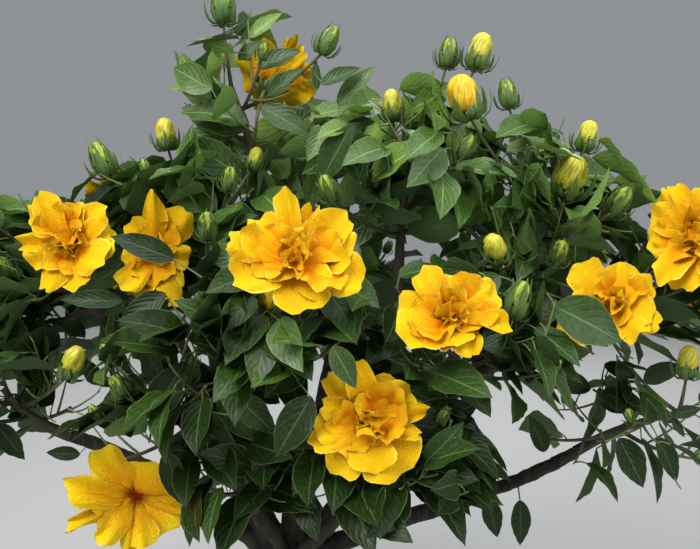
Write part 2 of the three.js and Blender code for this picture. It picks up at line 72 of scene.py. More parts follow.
# %% Camera
CAMERA_PLACE = (80.0, -1053.0, 687.0)  # millimetres, like every place of the growth rule below
CAMERA_TILT = math.radians(4)
LENS, SENSOR = 45, 36
view_data = bpy.data.cameras.new("camera")
view_data.lens, view_data.sensor_width = LENS, SENSOR
camera = bpy.data.objects.new("camera", view_data)
camera.location = [value / 1000 for value in CAMERA_PLACE]
camera.rotation_euler = (math.pi / 2 - CAMERA_TILT, 0, 0)
bpy.context.collection.objects.link(camera)
bpy.context.scene.camera = camera
print("camera at", tuple(round(value, 3) for value in camera.location), "lens", view_data.lens)

# %% [markdown]
# ## The floor and the light
# The shrub stands under a bright overcast sky. A sky picture would be the easiest light, but its
# colours can't be set one by one. So wide soft lamps stand in for it, over a plain pale floor. One
# large lamp stands high in front on the left, a cooler one hangs over the crown and draws the glints
# on its upper leaves, a weaker one on the right opens the shadows, and one behind lights the rims.

# %% Floor
bpy.ops.object.select_all(action="DESELECT")
bpy.ops.mesh.primitive_plane_add(size=12, location=(0, 0, -0.002))
floor = bpy.context.object
floor.name = "floor"
floor_paint = bpy.data.materials.new("floor paint")
floor_paint.use_nodes = True
paint = floor_paint.node_tree.nodes["Principled BSDF"].inputs
paint["Base Color"].default_value = (0.46, 0.46, 0.45, 1)
paint["Roughness"].default_value = 0.9
floor.data.materials.append(floor_paint)
bpy.ops.object.transform_apply(location=True, rotation=True, scale=True)
floor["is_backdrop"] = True
print("floor", tuple(round(side, 2) for side in floor.dimensions))

# %% Lamps
def soft_lamp(name, place, aim, size, power, colour):
    lamp = bpy.data.lights.new(name, "AREA")
    lamp.shape, lamp.size, lamp.energy, lamp.color = "DISK", size, power, colour
    holder = bpy.data.objects.new(name, lamp)
    holder.location = place
    holder.rotation_euler = (Vector(aim) - Vector(place)).to_track_quat("-Z", "Y").to_euler()
    bpy.context.collection.objects.link(holder)
    return holder


CROWN = (0, 0, 0.5)
lamps = [
    soft_lamp("lamp_front", (-1.6, -2.6, 3.0), CROWN, 2.2, 126, (1.0, 0.98, 0.94)),
    soft_lamp("lamp_top", (0.3, -0.9, 3.7), (0.05, 0, 0.6), 3.0, 66, (0.96, 0.98, 1.0)),
    soft_lamp("lamp_side", (2.8, -1.6, 1.6), CROWN, 2.4, 40, (0.95, 0.98, 1.0)),
    soft_lamp("lamp_back", (0.4, 3.0, 2.8), CROWN, 2.4, 60, (1.0, 1.0, 1.0)),
]
world = bpy.data.worlds.new("sky")
world.use_nodes = True
sky = world.node_tree.nodes["Background"].inputs
sky["Color"].default_value = (0.86, 0.9, 0.95, 1)
sky["Strength"].default_value = 0.32
bpy.context.scene.world = world
bpy.context.scene.view_settings.view_transform = "Standard"
print(len(lamps), "lamps")

# %% [markdown]
# ## Writing finishes as sums
# A material is a net of nodes, but most of what it says is arithmetic. The nets could be written
# out node by node and link by link, but then nobody could read them. One small class wraps a socket
# instead, so that `1 - mask` adds the Math node, and one method makes every other node.

# %% Shader maths
class Tone:
    """A value or colour that varies over a surface, which Python's operators work on."""

    def __init__(self, finish, socket):
        self.finish, self.socket = finish, socket

    def math(self, operation, *others):
        return self.finish.sum_of(operation, self, *others)

    def __add__(self, other):
        return self.math("ADD", other)

    def __sub__(self, other):
        return self.math("SUBTRACT", other)

    def __rsub__(self, other):
        return self.finish.sum_of("SUBTRACT", other, self)

    def __mul__(self, other):
        return self.math("MULTIPLY", other)

    __radd__, __rmul__ = __add__, __mul__

    def between(self, low, high):
        """0 below low, 1 above high, and a smooth step from one to the other."""
        inputs = {"Value": self, "From Min": low, "From Max": high}
        return self.finish.node("ShaderNodeMapRange", {"interpolation_type": "SMOOTHSTEP"}, inputs)


class Finish:
    """A material that is being written."""

    def __init__(self, name, **sockets):
        self.material = bpy.data.materials.new(name)
        self.material.use_nodes = True
        self.tree = self.material.node_tree
        self.shader = self.tree.nodes["Principled BSDF"]
        self.set(**sockets)

    def feed(self, socket, value):
        if isinstance(value, Tone):
            self.tree.links.new(value.socket, socket)
        else:
            socket.default_value = (*value, 1) if socket.type == "RGBA" else value

    def set(self, **sockets):
        for name, value in sockets.items():
            self.feed(self.shader.inputs[name.replace("_", " ")], value)

    def node(self, kind, settings=None, inputs=None, output=0):
        made = self.tree.nodes.new(kind)
        for key, value in (settings or {}).items():
            setattr(made, key, value)
        for key, value in (inputs or {}).items():
            self.feed(made.inputs[key], value)
        return Tone(self, made.outputs[output])

    def sum_of(self, operation, *terms):
        return self.node("ShaderNodeMath", {"operation": operation}, dict(enumerate(terms)))

    def mix(self, share, one, other):
        inputs = {0: share, 6: one, 7: other}
        return self.node("ShaderNodeMix", {"data_type": "RGBA"}, inputs, output=2)

    def own_map(self):
        """The piece's own map, as a place and as its two parts: across it or round it, and along it."""
        place = self.node("ShaderNodeUVMap", {"uv_map": "OFBake"})
        parts = [self.node("ShaderNodeSeparateXYZ", None, {0: place}, output=part) for part in (0, 1)]
        return place, *parts

    def two_sided_map(self):
        """On a sheet: its map, the share along, 1 on the underside, and 0 at the midrib to 1 at the rim."""
        place, u, v = self.own_map()
        under = u.math("GREATER_THAN", 0.5)
        side = (u * 2 - under) - 0.5
        return place, u, v, under, side.math("ABSOLUTE") * 2

    def stretched(self, vector, scale):
        return self.node("ShaderNodeMapping", None, {"Vector": vector, "Scale": scale})

    def cloudy(self, vector, scale, detail=3, roughness=0.5):
        inputs = {"Vector": vector, "Scale": scale, "Detail": detail, "Roughness": roughness}
        return self.node("ShaderNodeTexNoise", None, inputs)

    def bump(self, height, strength, distance):
        inputs = {"Height": height, "Strength": strength, "Distance": distance}
        return self.node("ShaderNodeBump", None, inputs)


print("shader maths ready")

# %% [markdown]
# ## The growth rule
# The shrub's limbs, stems and shoots follow one rule: a limb passes near two points and ends at its
# tip, a mass of leaves grows round its own stem, and shoots are dealt out evenly over it. The rule
# is written again here, in the same numbers as the model (millimetres), so that every twig grows on
# from a limb that is really there. It could be traced by eye, but then the looks would drift from
# the solids.

# %% Limbs
FORK = (8, 4, 250)
TRUNK_TOP = (10, 5, 276)
# name, parent, share along it, two points that it passes, tip, radii at foot and tip
LIMBS = [
    ("bough_left_low", "trunk", 0, (-82, -8, 322), (-165, -20, 382), (-250, -32, 424), (13, 8)),
    ("bough_left_stem", "trunk", 0, (-40, 0, 335), (-66, 5, 412), (-84, 10, 520), (18, 10)),
    ("branch_left", "bough_left_stem", 0.55, (-115, -2, 480), (-165, -8, 525), (-215, -12, 560), (9, 6)),
    ("branch_left_front", "bough_left_stem", 0.3, (-68, -32, 392), (-86, -62, 418), (-98, -88, 438), (8, 6)),
    ("bough_centre_stem", "trunk", 0, (12, -6, 385), (8, 12, 520), (-22, 14, 700), (15, 7)),
    ("branch_centre_front", "bough_centre_stem", 0.3,
     (13, -42, 430), (15, -76, 460), (16, -104, 488), (8, 6)),
    ("branch_back_top", "bough_centre_stem", 0.45, (25, 48, 530), (45, 80, 590), (60, 108, 648), (9, 6)),
    ("bough_right", "trunk", 0, (106, -14, 382), (208, -50, 488), (315, -58, 545), (15, 8)),
    ("branch_top", "bough_right", 0.35, (128, -4, 460), (138, 4, 530), (140, 6, 605), (10, 7)),
    ("branch_top_right", "bough_right", 0.68, (255, -40, 545), (280, -22, 580), (300, -8, 618), (8, 6)),
    ("branch_right_front", "bough_right", 0.5, (176, -62, 456), (186, -84, 472), (194, -104, 492), (7, 5.5)),
    ("bough_right_low", "trunk", 0, (120, -12, 308), (235, -28, 352), (345, -40, 407), (14, 7)),
    ("bough_front", "trunk", 0, (36, -46, 300), (62, -82, 338), (82, -108, 378), (11, 7)),
    ("branch_front_left", "trunk", 0, (-8, -34, 300), (-18, -60, 325), (-26, -84, 352), (10, 6)),
    ("bough_back_left", "trunk", 0, (-44, 56, 322), (-92, 106, 400), (-140, 150, 480), (15, 8)),
    ("bough_back", "trunk", 0, (20, 66, 325), (34, 130, 395), (48, 190, 465), (14, 8)),
    ("bough_back_right", "trunk", 0, (72, 52, 322), (140, 102, 400), (215, 148, 478), (15, 8)),
]


def unit(vector):
    return vector / np.linalg.norm(vector, axis=-1, keepdims=True)


def along_curve(controls, shares):
    """Points of a Bezier curve of any degree."""
    shares = np.atleast_1d(np.asarray(shares, float))[:, None]
    last = len(controls) - 1
    weights = [math.comb(last, i) * shares**i * (1 - shares) ** (last - i) for i in range(last + 1)]
    return sum(weight * np.asarray(point, float) for weight, point in zip(weights, controls))


def through(a, b, c, d):
    """The cubic's four controls that make it pass b and c on its way from a to d."""
    a, b, c, d = (np.asarray(point, float) for point in (a, b, c, d))
    return [a, -5 / 6 * a + 3 * b - 1.5 * c + d / 3, a / 3 - 1.5 * b + 3 * c - 5 / 6 * d, d]


trunk_curve = [(0, 0, 0), (0, 0, 80), (3, 0, 180), TRUNK_TOP]
curves = {"trunk": trunk_curve}
for name, parent, share, near, far, tip, radii in LIMBS:
    start = FORK if parent == "trunk" else along_curve(curves[parent], share)[0]
    curves[name] = through(start, near, far, tip)
print(len(curves) - 1, "limbs")

# %% [markdown]
# ## The masses and the blooms
# Each mass of leaves has a centre, a reach to all sides and buds that stand where the photograph
# shows them. The blooms of the front do too. Those of the sides and the back are a guess, in the
# same manner. One crown filled evenly would be simpler, but the real one is a handful of bunches
# with sky between them.

# %% Masses and blooms
Mass = namedtuple("Mass", "name limb centre stem_end reach shoots seed buds")
Bloom = namedtuple("Bloom", "name mass at facing width hung")
# the places of a mass's buds, and of those that are further on than a usual one its width and stage
MASSES = [Mass(*row) for row in (
    ("leaves_left_low", "bough_left_low", (-335, -30, 480), (-330, -32, 480), (105, 105, 75), 7, 11, [
        (-233, -92, 508, 28, "turning"),
    ]),
    ("leaves_left", "branch_left", (-290, -20, 640), (-285, -15, 635), (115, 115, 80), 6, 12, [
        (-322, -42, 672), (-304, -66, 618),
    ]),
    ("leaves_left_front", "branch_left_front", (-118, -135, 490), (-116, -128, 490), (95, 80, 75), 6, 13, [
        (-166, -114, 490), (-90, -124, 510),
    ]),
    ("leaves_upper_left", "bough_left_stem", (-112, 10, 690), (-105, 12, 670), (105, 100, 75), 6, 14, [
        (-203, -22, 732, 30, "green"), (-137, -2, 764, 27, "turning"), (-36, -12, 740, 19, "turning"),
        (-61, -42, 714, 20, "green"), (-79, -82, 660, 23, "green"),
    ]),
    ("leaves_top_left", "bough_centre_stem", (-30, 15, 825), (-60, -6, 835), (75, 80, 85), 4, 15, [
        (-70, 2, 912, 29, "green"), (48, -36, 870, 23, "green"),
    ]),
    ("leaves_centre_front", "branch_centre_front", (10, -150, 565), (14, -148, 560), (90, 80, 80), 9, 16, [
        (2, -164, 586, 25, "ripe"),
    ]),
    ("leaves_top", "branch_top", (145, 0, 735), (150, 2, 730), (100, 115, 90), 7, 17, [
        (62, -82, 702, 23, "green"), (131, -2, 798, 27, "turning"), (195, 8, 862, 25, "green"),
        (228, -2, 858, 31, "turning"), (210, -32, 750, 21, "green"),
    ]),
    ("leaves_top_right", "branch_top_right", (315, 0, 700), (310, -4, 692), (105, 115, 80), 7, 18, [
        (271, 8, 814, 23, "green"), (219, -34, 796, 40, "ripe"), (358, -2, 762, 27, "turning"),
        (328, -44, 708, 36, "wide"), (377, -54, 686, 25, "green"), (245, -94, 636, 28, "turning"),
        (311, -74, 634, 22, "green"),
    ]),
    ("leaves_right", "bough_right", (425, -30, 600), (416, -26, 596), (110, 115, 75), 7, 19, []),
    ("leaves_right_front", "branch_right_front", (205, -145, 545), (203, -138, 542), (90, 75, 75), 9, 20, [
        (247, -154, 582, 26, "green"),
    ]),
    ("leaves_right_low", "bough_right_low", (395, -48, 432), (462, -50, 456), (105, 75, 60), 5, 21, [
        (469, -52, 498, 27, "turning"),
    ]),
    ("leaves_front_low", "bough_front", (118, -140, 425), (112, -134, 430), (95, 75, 65), 10, 22, []),
    ("leaves_front_left", "branch_front_left", (-38, -112, 395), (-34, -106, 400), (70, 65, 60), 8, 23, []),
    ("leaves_back_left", "bough_back_left", (-205, 185, 590), (-195, 185, 580), (130, 115, 110), 8, 24, [
        (-150, 220, 700), (-290, 120, 640),
    ]),
    ("leaves_back", "bough_back", (60, 255, 560), (58, 240, 560), (115, 95, 110), 8, 35, [
        (0, 290, 655), (130, 320, 560),
    ]),
    ("leaves_back_right", "bough_back_right", (305, 185, 585), (290, 180, 570), (130, 115, 105), 8, 26, [
        (330, 190, 706), (420, 150, 620),
    ]),
    ("leaves_back_top", "branch_back_top", (65, 150, 735), (64, 140, 725), (110, 90, 85), 7, 27, [
        (-20, 170, 800), (150, 130, 810),
    ]),
)]
BLOOMS = [Bloom(*row) for row in (
    ("bloom_top", "leaves_top_left", (-14, 34, 852), (0.25, 0.75, 0.55), 112, False),
    ("bloom_left", "leaves_left", (-231, -84, 654), (-0.1, -0.95, 0.25), 118, False),
    ("bloom_left_inner", "leaves_upper_left", (-140, -62, 642), (0.4, -0.85, 0.15), 106, False),
    ("bloom_left_back", "leaves_upper_left", (-212, 92, 716), (-0.35, 0.45, 0.8), 106, False),
    ("bloom_centre", "leaves_centre_front", (28, -215, 652), (0.05, -0.9, 0.4), 134, False),
    ("bloom_right_centre", "leaves_right_front", (177, -205, 588), (-0.05, -0.8, 0.6), 126, False),
    ("bloom_low", "leaves_front_low", (97, -197, 482), (0.1, -0.97, 0.2), 122, False),
    ("bloom_low_left", "leaves_left_front", (-160, -162, 391), (0.45, -0.88, 0.1), 120, True),
    ("bloom_right", "leaves_right_low", (375, -100, 592), (-0.2, -0.83, 0.48), 116, False),
    ("bloom_right_edge", "leaves_right", (446, -125, 662), (-0.45, -0.83, 0.3), 122, False),
    ("bloom_side_right", "leaves_right", (530, 85, 588), (0.92, 0.3, 0.25), 118, False),
    ("bloom_side_left", "leaves_left", (-412, 62, 600), (-0.92, 0.25, 0.3), 114, False),
    ("bloom_back_left", "leaves_back_left", (-262, 288, 565), (-0.5, 0.8, 0.25), 118, False),
    ("bloom_back", "leaves_back", (75, 352, 612), (0.1, 0.95, 0.3), 124, False),
    ("bloom_back_right", "leaves_back_right", (352, 292, 545), (0.45, 0.85, 0.2), 116, False),
    ("bloom_back_top", "leaves_back_top", (130, 238, 738), (0.2, 0.7, 0.68), 112, False),
)]
FRONT_BLOOMS = BLOOMS[:10]
print(len(MASSES), "masses,", len(BLOOMS), "blooms")

# %% [markdown]
# ## Stems, shoots and stalks
# A stem carries on from its bough's tip into the mass, and shoots leave it sideways and bend up to
# their buds and blooms. All are curves of three or four points, so that the next finer growth can
# start anywhere along them. The stream of numbers is the one that the solids were grown by.

# %% Stems, shoots and stalks
GOLDEN_TURN = 2.39996
UP = unit(np.array((0.03, 0.05, 1.0)))


def seeded(seed):
    """A repeatable stream of numbers from 0 to 1, the same one as the solids are grown by."""
    state = seed

    def draw():
        nonlocal state
        state = (state * 1664525 + 1013904223) % 2**32
        return state / 2**32

    for _ in range(4):
        draw()
    return draw


def end_direction(controls):
    return unit(np.asarray(controls[-1], float) - np.asarray(controls[-2], float))


def shoot_curve(mass, stem, tip):
    """A shoot leaves its stem sideways and bends upwards. Low ones leave the stem lower down."""
    tip = np.asarray(tip, float)
    height = (tip[2] - mass.centre[2]) / mass.reach[2]
    start = along_curve(stem, min(max(0.6 + 0.4 * height, 0.2), 1))[0]
    middle = (start + tip) / 2
    middle[2] -= 0.14 * np.linalg.norm(tip - start)
    return [start, middle, tip]


def bloom_frame(bloom):
    """The way it faces, the foot of its petals, and where its stalk starts."""
    facing = unit(np.asarray(bloom.facing, float))
    foot = np.asarray(bloom.at, float) - 0.3 * bloom.width * facing
    return facing, foot, foot - 30 * facing + np.array((0, 0, 28 if bloom.hung else -28))


def stem_curve(mass):
    limb = curves[mass.limb]
    along = end_direction(limb)
    start, end = np.asarray(limb[-1], float), np.asarray(mass.stem_end, float)
    return [start, start + along * np.linalg.norm(end - start) / 2, end]


stems = {mass.name: stem_curve(mass) for mass in MASSES}
named_shoots = {}
stalks = {}
for mass in MASSES:
    carried = [bloom for bloom in BLOOMS if bloom.mass == mass.name]
    to_blooms = [(shoot_curve(mass, stems[mass.name], bloom_frame(bloom)[2]), False) for bloom in carried]
    to_buds = [(shoot_curve(mass, stems[mass.name], bud[:3]), True) for bud in mass.buds]
    named_shoots[mass.name] = to_blooms + to_buds
    for bloom, (shoot, _) in zip(carried, to_blooms):
        facing, foot, start = bloom_frame(bloom)
        stalks[bloom.name] = [start, start + 16 * end_direction(shoot), foot - 14 * facing, foot]
print(sum(map(len, named_shoots.values())), "named shoots,", len(stalks), "stalks")

# %% [markdown]
# ## What a shoot or leaf keeps clear of
# Leaves stay in their own mass's space, inside its reach, and off the limbs and blooms. Limbs are
# tested as rods, which are points with a radius, and blooms as flat ellipsoids. Testing against the
# real meshes would be exact, but a few thousand leaves are tried, and these run on many points at once.

# %% Room to grow
LEAF_REACH = 42
ROOM = 3
centres = np.array([mass.centre for mass in MASSES], float)
reaches = np.array([mass.reach for mass in MASSES], float)


def tapered(radii, share):
    return radii[0] + (radii[1] - radii[0]) * share


def rods(controls, radii, count):
    shares = np.linspace(0, 1, count + 1)
    return np.column_stack([along_curve(controls, shares), tapered(radii, shares)])


limb_rods = np.vstack(
    [rods(curves[name], radii, 24) for name, *_, radii in LIMBS] + [rods(trunk_curve, (31, 31), 12)]
)
stalk_rods = np.vstack([rods(stalk, (2.2, 2.2), 12) for stalk in stalks.values()])
mass_rods = {}
for name, stem in stems.items():
    woody = [stem, *(curve for curve, _ in named_shoots[name])]
    mass_rods[name] = np.vstack([rods(curve, (4.4, 4.4), 32) for curve in woody])
bloom_places = np.array([bloom.at for bloom in BLOOMS], float)
bloom_facings = unit(np.array([bloom.facing for bloom in BLOOMS], float))
bloom_widths = np.array([bloom.width for bloom in BLOOMS], float)


def in_bloom(points, fill=1.0):
    away = points[:, None] - bloom_places
    ahead = np.einsum("pbk,bk->pb", away, bloom_facings)
    beside = (away**2).sum(2) - ahead**2
    across, deep = (fill * share * bloom_widths + ROOM for share in (0.52, 0.36))
    return (beside / across**2 + (ahead / deep) ** 2 < 1).any()


def in_space(points, own, border=0.8):
    """True where every point is nearer to its own mass's centre than to any other's."""
    squares = ((points[:, None] - centres) ** 2).sum(2)
    between = np.linalg.norm(centres - centres[own], axis=1)
    between[own] = 1
    lead = (squares - squares[:, own : own + 1]) / (2 * between)
    lead[:, own] = np.inf
    return (lead > border).all()


def within_reach(points, own, further=LEAF_REACH):
    return ((((points - centres[own]) / (reaches[own] + further)) ** 2).sum(1) < 1).all()


def clear_of(points, rod_list, room=ROOM):
    return (np.linalg.norm(points[:, None] - rod_list[:, :3], axis=2) > rod_list[:, 3] + room).all()


# The crown's upper edge falls off to both sides: greatest height, slope, and where the slope starts
EDGES = {"leaves_left": (716, 0, 0), "leaves_top_right": (835, 0.8, 290), "leaves_right": (700, 0, 0)}


def below_edge(points, own):
    top, slope, start = EDGES.get(MASSES[own].name, (2000, 0, 0))
    return (points[:, 2] < top - slope * np.maximum(0, points[:, 0] - start)).all()


print(len(limb_rods), "points on limbs to keep clear of")

# %% Deal the shoots
def dealt_shoots(own):
    """Spreads a mass's other shoots over its upper side, and skips those that would run into something."""
    mass = MASSES[own]
    random = seeded(mass.seed)
    others = np.vstack([rod_list for other, rod_list in mass_rods.items() if other != mass.name])
    dealt = []
    for i in range(mass.shoots):
        rise = 0.95 - 1.5 * (i + 0.5 * random()) / mass.shoots
        turn = mass.seed + i * GOLDEN_TURN + 0.4 * random()
        flat = math.sqrt(1 - rise * rise)
        out = 0.78 + 0.22 * random()
        way = np.array((math.cos(turn) * flat, math.sin(turn) * flat, rise))
        tip = np.asarray(mass.centre) + way * np.asarray(mass.reach) * out
        curve = shoot_curve(mass, stems[mass.name], tip)
        points = along_curve(curve, np.linspace(0, 1, 13))[2:]
        free = clear_of(points, limb_rods) and clear_of(points, stalk_rods) and clear_of(points, others)
        if in_space(points, own) and free and not in_bloom(points):
            dealt.append((curve, i % 3 == 1))
    return dealt


shoots = [named_shoots[mass.name] + dealt_shoots(own) for own, mass in enumerate(MASSES)]
print(sum(map(len, shoots)), "shoots")

# %% [markdown]
# ## Finer twigs
# On the real shrub each shoot carries side twigs as fine as straws, which fill the crown with
# leaves. Scattering leaves in the air round each shoot would be quicker, but close to, each leaf has
# to hang on something. So twigs are grown by the same turn from twig to twig, a golden angle apart,
# and stay within the reach of their mass.

# %% Side twigs
TWIG_PLACES = (0.34, 0.58, 0.8)


def way_along(curve, share, step):
    return unit(along_curve(curve, min(share + step, 1))[0] - along_curve(curve, share - step)[0])


def across_twig(ahead, turn):
    """The way sideways from a twig at a turn round it."""
    side = unit(np.cross(ahead, UP))
    return side * math.cos(turn) + np.cross(side, ahead) * math.sin(turn)


def side_twigs(curve, own, seed):
    random = seeded(seed)
    made = []
    for i, share in enumerate(TWIG_PLACES):
        start = along_curve(curve, share)[0]
        ahead = way_along(curve, share, 0.02)
        length = 42 + 30 * random()
        for attempt in range(5):
            out = across_twig(ahead, seed + i * GOLDEN_TURN + 1.1 * attempt)
            way = unit(0.55 * ahead + 0.8 * out)
            tip = start + way * length + np.array((0, 0, 0.22 * length))
            twig = [start, start + way * length * 0.55, tip]
            points = along_curve(twig, np.linspace(0.15, 1, 6))
            inside = within_reach(points, own, 20) and below_edge(points, own)
            if inside and not in_bloom(points) and clear_of(points[2:], limb_rods):
                made.append(twig)
                break
    return made


twigs = []
for own, mass_shoots in enumerate(shoots):
    grown = [side_twigs(curve, own, 300 + 40 * own + number) for number, (curve, _) in enumerate(mass_shoots)]
    twigs.append([twig for some in grown for twig in some])
print(sum(map(len, twigs)), "side twigs")

# %% [markdown]
# ## Working by hand in code
# The pieces below are modelled as by hand: a primitive, then edit mode. A mesh could be written
# straight from numbers, but then nobody could see how its shape comes about. So these helpers do
# what the hand would do: select vertices by their place, then widen, lift or extrude them.

# %% Helpers for edit mode
def start_alone():
    if bpy.context.object and bpy.context.object.mode != "OBJECT":
        bpy.ops.object.mode_set(mode="OBJECT")
    bpy.ops.object.select_all(action="DESELECT")


def pick(test):
    """Selects the vertices of the mesh in edit mode whose place passes the test."""
    mesh = bmesh.from_edit_mesh(bpy.context.object.data)
    mesh.select_mode = {"VERT"}
    for vertex in mesh.verts:
        vertex.select = bool(test(vertex.co))
    mesh.select_flush_mode()
    bmesh.update_edit_mesh(bpy.context.object.data)


def widen(times, middle=(0, 0, 0), tall=1):
    """Scales what is selected round a middle, sideways, and upwards too if it says so."""
    bpy.ops.transform.resize(value=(times, times, tall), center_override=middle)


def lift(height):
    bpy.ops.transform.translate(value=(0, 0, height))


def draw_out(way):
    """Extrudes what is selected."""
    bpy.ops.mesh.extrude_region_move(TRANSFORM_OT_translate={"value": tuple(way)})


def stop_editing():
    """Back to object mode, with every face turned outwards."""
    bpy.ops.mesh.select_all(action="SELECT")
    bpy.ops.mesh.normals_make_consistent(inside=False)
    bpy.ops.object.mode_set(mode="OBJECT")


def read(rows, name, width=1, kind=float):
    """One property of all vertices, faces or corners, as an array."""
    values = np.empty(len(rows) * width, kind)
    rows.foreach_get(name, values)
    return values.reshape(-1, width) if width > 1 else values


print("helpers for edit mode ready")

# %% [markdown]
# ## The trunk and the limbs
# The trunk flares into five roots and forks low into dark boughs. Each limb could stay a tube of
# its own, but the forks would show as cuts. So the trunk is one circle drawn up ring by ring, the
# limbs are curves with a round section, and a voxel remesh melts them into one skin.

# %% Trunk
start_alone()
bpy.ops.mesh.primitive_circle_add(vertices=30, radius=1, fill_type="NGON", location=(0, 0, 0))
trunk = bpy.context.object
bpy.ops.object.mode_set(mode="EDIT")
TRUNK_RINGS = [0, 8, 20, 40, 75, 120, 165, 210, 250, 268, 276]
FLARE = 30  # millimetres up the trunk over which its flare fades to a third


def trunk_radius(height):
    share = height / TRUNK_TOP[2]
    body = 34 - 14 * share if share < 0.5 else 27 + 8 * (share - 0.5)
    return (body + 22 * math.exp(-height / FLARE)) * (0.75 if share > 0.98 else 1)


def ring_middle(height):
    return along_curve(trunk_curve, height / TRUNK_TOP[2])[0] / 1000


bpy.ops.mesh.select_all(action="SELECT")
widen(trunk_radius(0) / 1000)
for low, high in zip(TRUNK_RINGS, TRUNK_RINGS[1:]):
    rise = ring_middle(high) - ring_middle(low)
    rise[2] = (high - low) / 1000
    draw_out(rise)
    widen(trunk_radius(high) / trunk_radius(low), (*ring_middle(high)[:2], high / 1000))
for height in TRUNK_RINGS[:5]:  # the five roots
    pick(lambda co: abs(co.z - height / 1000) < 1e-4 and math.cos(5 * math.atan2(co.y, co.x)) > 0.4)
    widen(1 + 0.34 * math.exp(-height / FLARE), (*ring_middle(height)[:2], height / 1000))
stop_editing()
print("trunk", len(trunk.data.polygons), "faces")

# %% Limbs and one skin
VOXEL = 0.0023  # as fine as the count of triangles allows
solids = [trunk]
for name, *_, radii in LIMBS:
    start_alone()
    bpy.ops.curve.primitive_bezier_curve_add(radius=0.1, location=(0, 0, 0))
    limb = bpy.context.object
    near, far = limb.data.splines[0].bezier_points
    for point in (near, far):
        point.handle_left_type = point.handle_right_type = "FREE"
    controls = [Vector(np.asarray(point, float) / 1000) for point in curves[name]]
    near.co, near.handle_right, far.handle_left, far.co = controls
    near.handle_left, far.handle_right = controls[0] * 2 - controls[1], controls[3] * 2 - controls[2]
    near.radius, far.radius = (radius / 1000 for radius in radii)
    limb.data.bevel_depth, limb.data.bevel_resolution = 1.0, 3
    limb.data.resolution_u, limb.data.use_fill_caps = 20, True
    bpy.ops.object.convert(target="MESH")
    solids.append(bpy.context.object)
start_alone()
for part in solids:
    part.select_set(True)
bpy.context.view_layer.objects.active = trunk
bpy.ops.object.join()
bark = bpy.context.object
bark.name = bark.data.name = "bark"
melt = bark.modifiers.new("melt", "REMESH")
melt.mode, melt.voxel_size = "VOXEL", VOXEL
bpy.ops.object.modifier_apply(modifier="melt")
print("bark", len(bark.data.polygons), "faces")

# %% [markdown]
# ## The bark
# The bark is dark, ridged lengthwise, with knots and old leaf scars. A bump alone would leave the
# outline of the boughs as smooth as pipes, so its relief is pushed out of the surface itself, and
# only the finest ridges and the lighter flecks are left to the finish.

# %% Bark relief
def bark_relief(mesh):
    """Ridges that run lengthwise, plates, knots and scars, pushed out along the normals."""
    places, normals = read(mesh.vertices, "co", 3), read(mesh.vertex_normals, "vector", 3)
    relief = np.zeros(len(places))
    for i, place in enumerate(places):
        x, y, z = place
        ridge = noise.fractal(Vector((x * 70, y * 70, z * 16)), 0.7, 2.1, 4)
        plate = noise.noise(Vector((x * 240, y * 240, z * 90)))
        lump = noise.noise(Vector((x * 22, y * 22, z * 18)))
        relief[i] = 0.0011 * ridge + 0.0004 * plate + 0.0014 * lump
    random = seeded(907)
    for name, *_, radii in LIMBS + [("trunk", (29, 29))]:
        for _ in range(5 if name != "trunk" else 9):
            share, turn = 0.1 + 0.85 * random(), 2 * math.pi * random()
            at = along_curve(curves[name], share)[0]
            ahead = way_along(curves[name], share, 0.01)
            out = across_twig(ahead, turn)
            if abs(ahead @ UP) >= 0.97:
                out = np.array((math.cos(turn), math.sin(turn), 0))
            radius = tapered(radii, share)
            knot = (at + out * radius) / 1000
            size = (0.25 + 0.2 * random()) * radius / 1000 + 0.0015
            away = np.linalg.norm(places - knot, axis=1) / size
            relief += size * (0.45 * np.exp(-(away**2)) - 0.4 * np.exp(-((away / 0.45) ** 2)))
    places += normals * relief[:, None]
    mesh.vertices.foreach_set("co", places.ravel())
    mesh.update()
    return relief


relief = bark_relief(bark.data)
bark.data.polygons.foreach_set("use_smooth", np.ones(len(bark.data.polygons), bool))
print("relief from", round(relief.min() * 1000, 1), "to", round(relief.max() * 1000, 1), "mm")

# %% Bark finish
bark_finish = Finish("weathered bark", Roughness=0.88)
place = bark_finish.node("ShaderNodeTexCoord", output=3)
drawn = bark_finish.stretched(place, (60, 60, 14))
ridges = bark_finish.cloudy(drawn, 1.2, 6, 0.62)
flecks = bark_finish.cloudy(place, 420, 3)
patches = bark_finish.cloudy(place, 26, 3)
brown = bark_finish.mix(ridges.between(0.34, 0.66), (0.006, 0.005, 0.004), (0.04, 0.03, 0.021))
weathered = bark_finish.mix(patches.between(0.5, 0.72) * 0.4, brown, (0.066, 0.055, 0.038))
speckled = bark_finish.mix(flecks.between(0.6, 0.75) * 0.35, weathered, (0.12, 0.102, 0.076))
bark_finish.set(Base_Color=speckled, Normal=bark_finish.bump(ridges + flecks * 0.35, 0.85, 0.004))
bark.data.materials.clear()
bark.data.materials.append(bark_finish.material)
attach(bark, "root")
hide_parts("trunk", *[name for name, *_ in LIMBS])
print("bark replaces", 1 + len(LIMBS), "nodes")

# %% [markdown]
# ## Stems and twigs
# A mass's stem is still dark and woody at its foot, where it is as thick as the bough that carries
# it, the shoots are green with a brown cast, and the stalks of the blooms are the freshest green.
# Skinning them by hand one at a time would take days, so they are thin closed tubes, made from
# arrays and joined in one mesh.

# %% Tubes
def sideways(way):
    return unit(np.cross(way, UP if abs(way @ UP) < 0.95 else (1.0, 0, 0)))


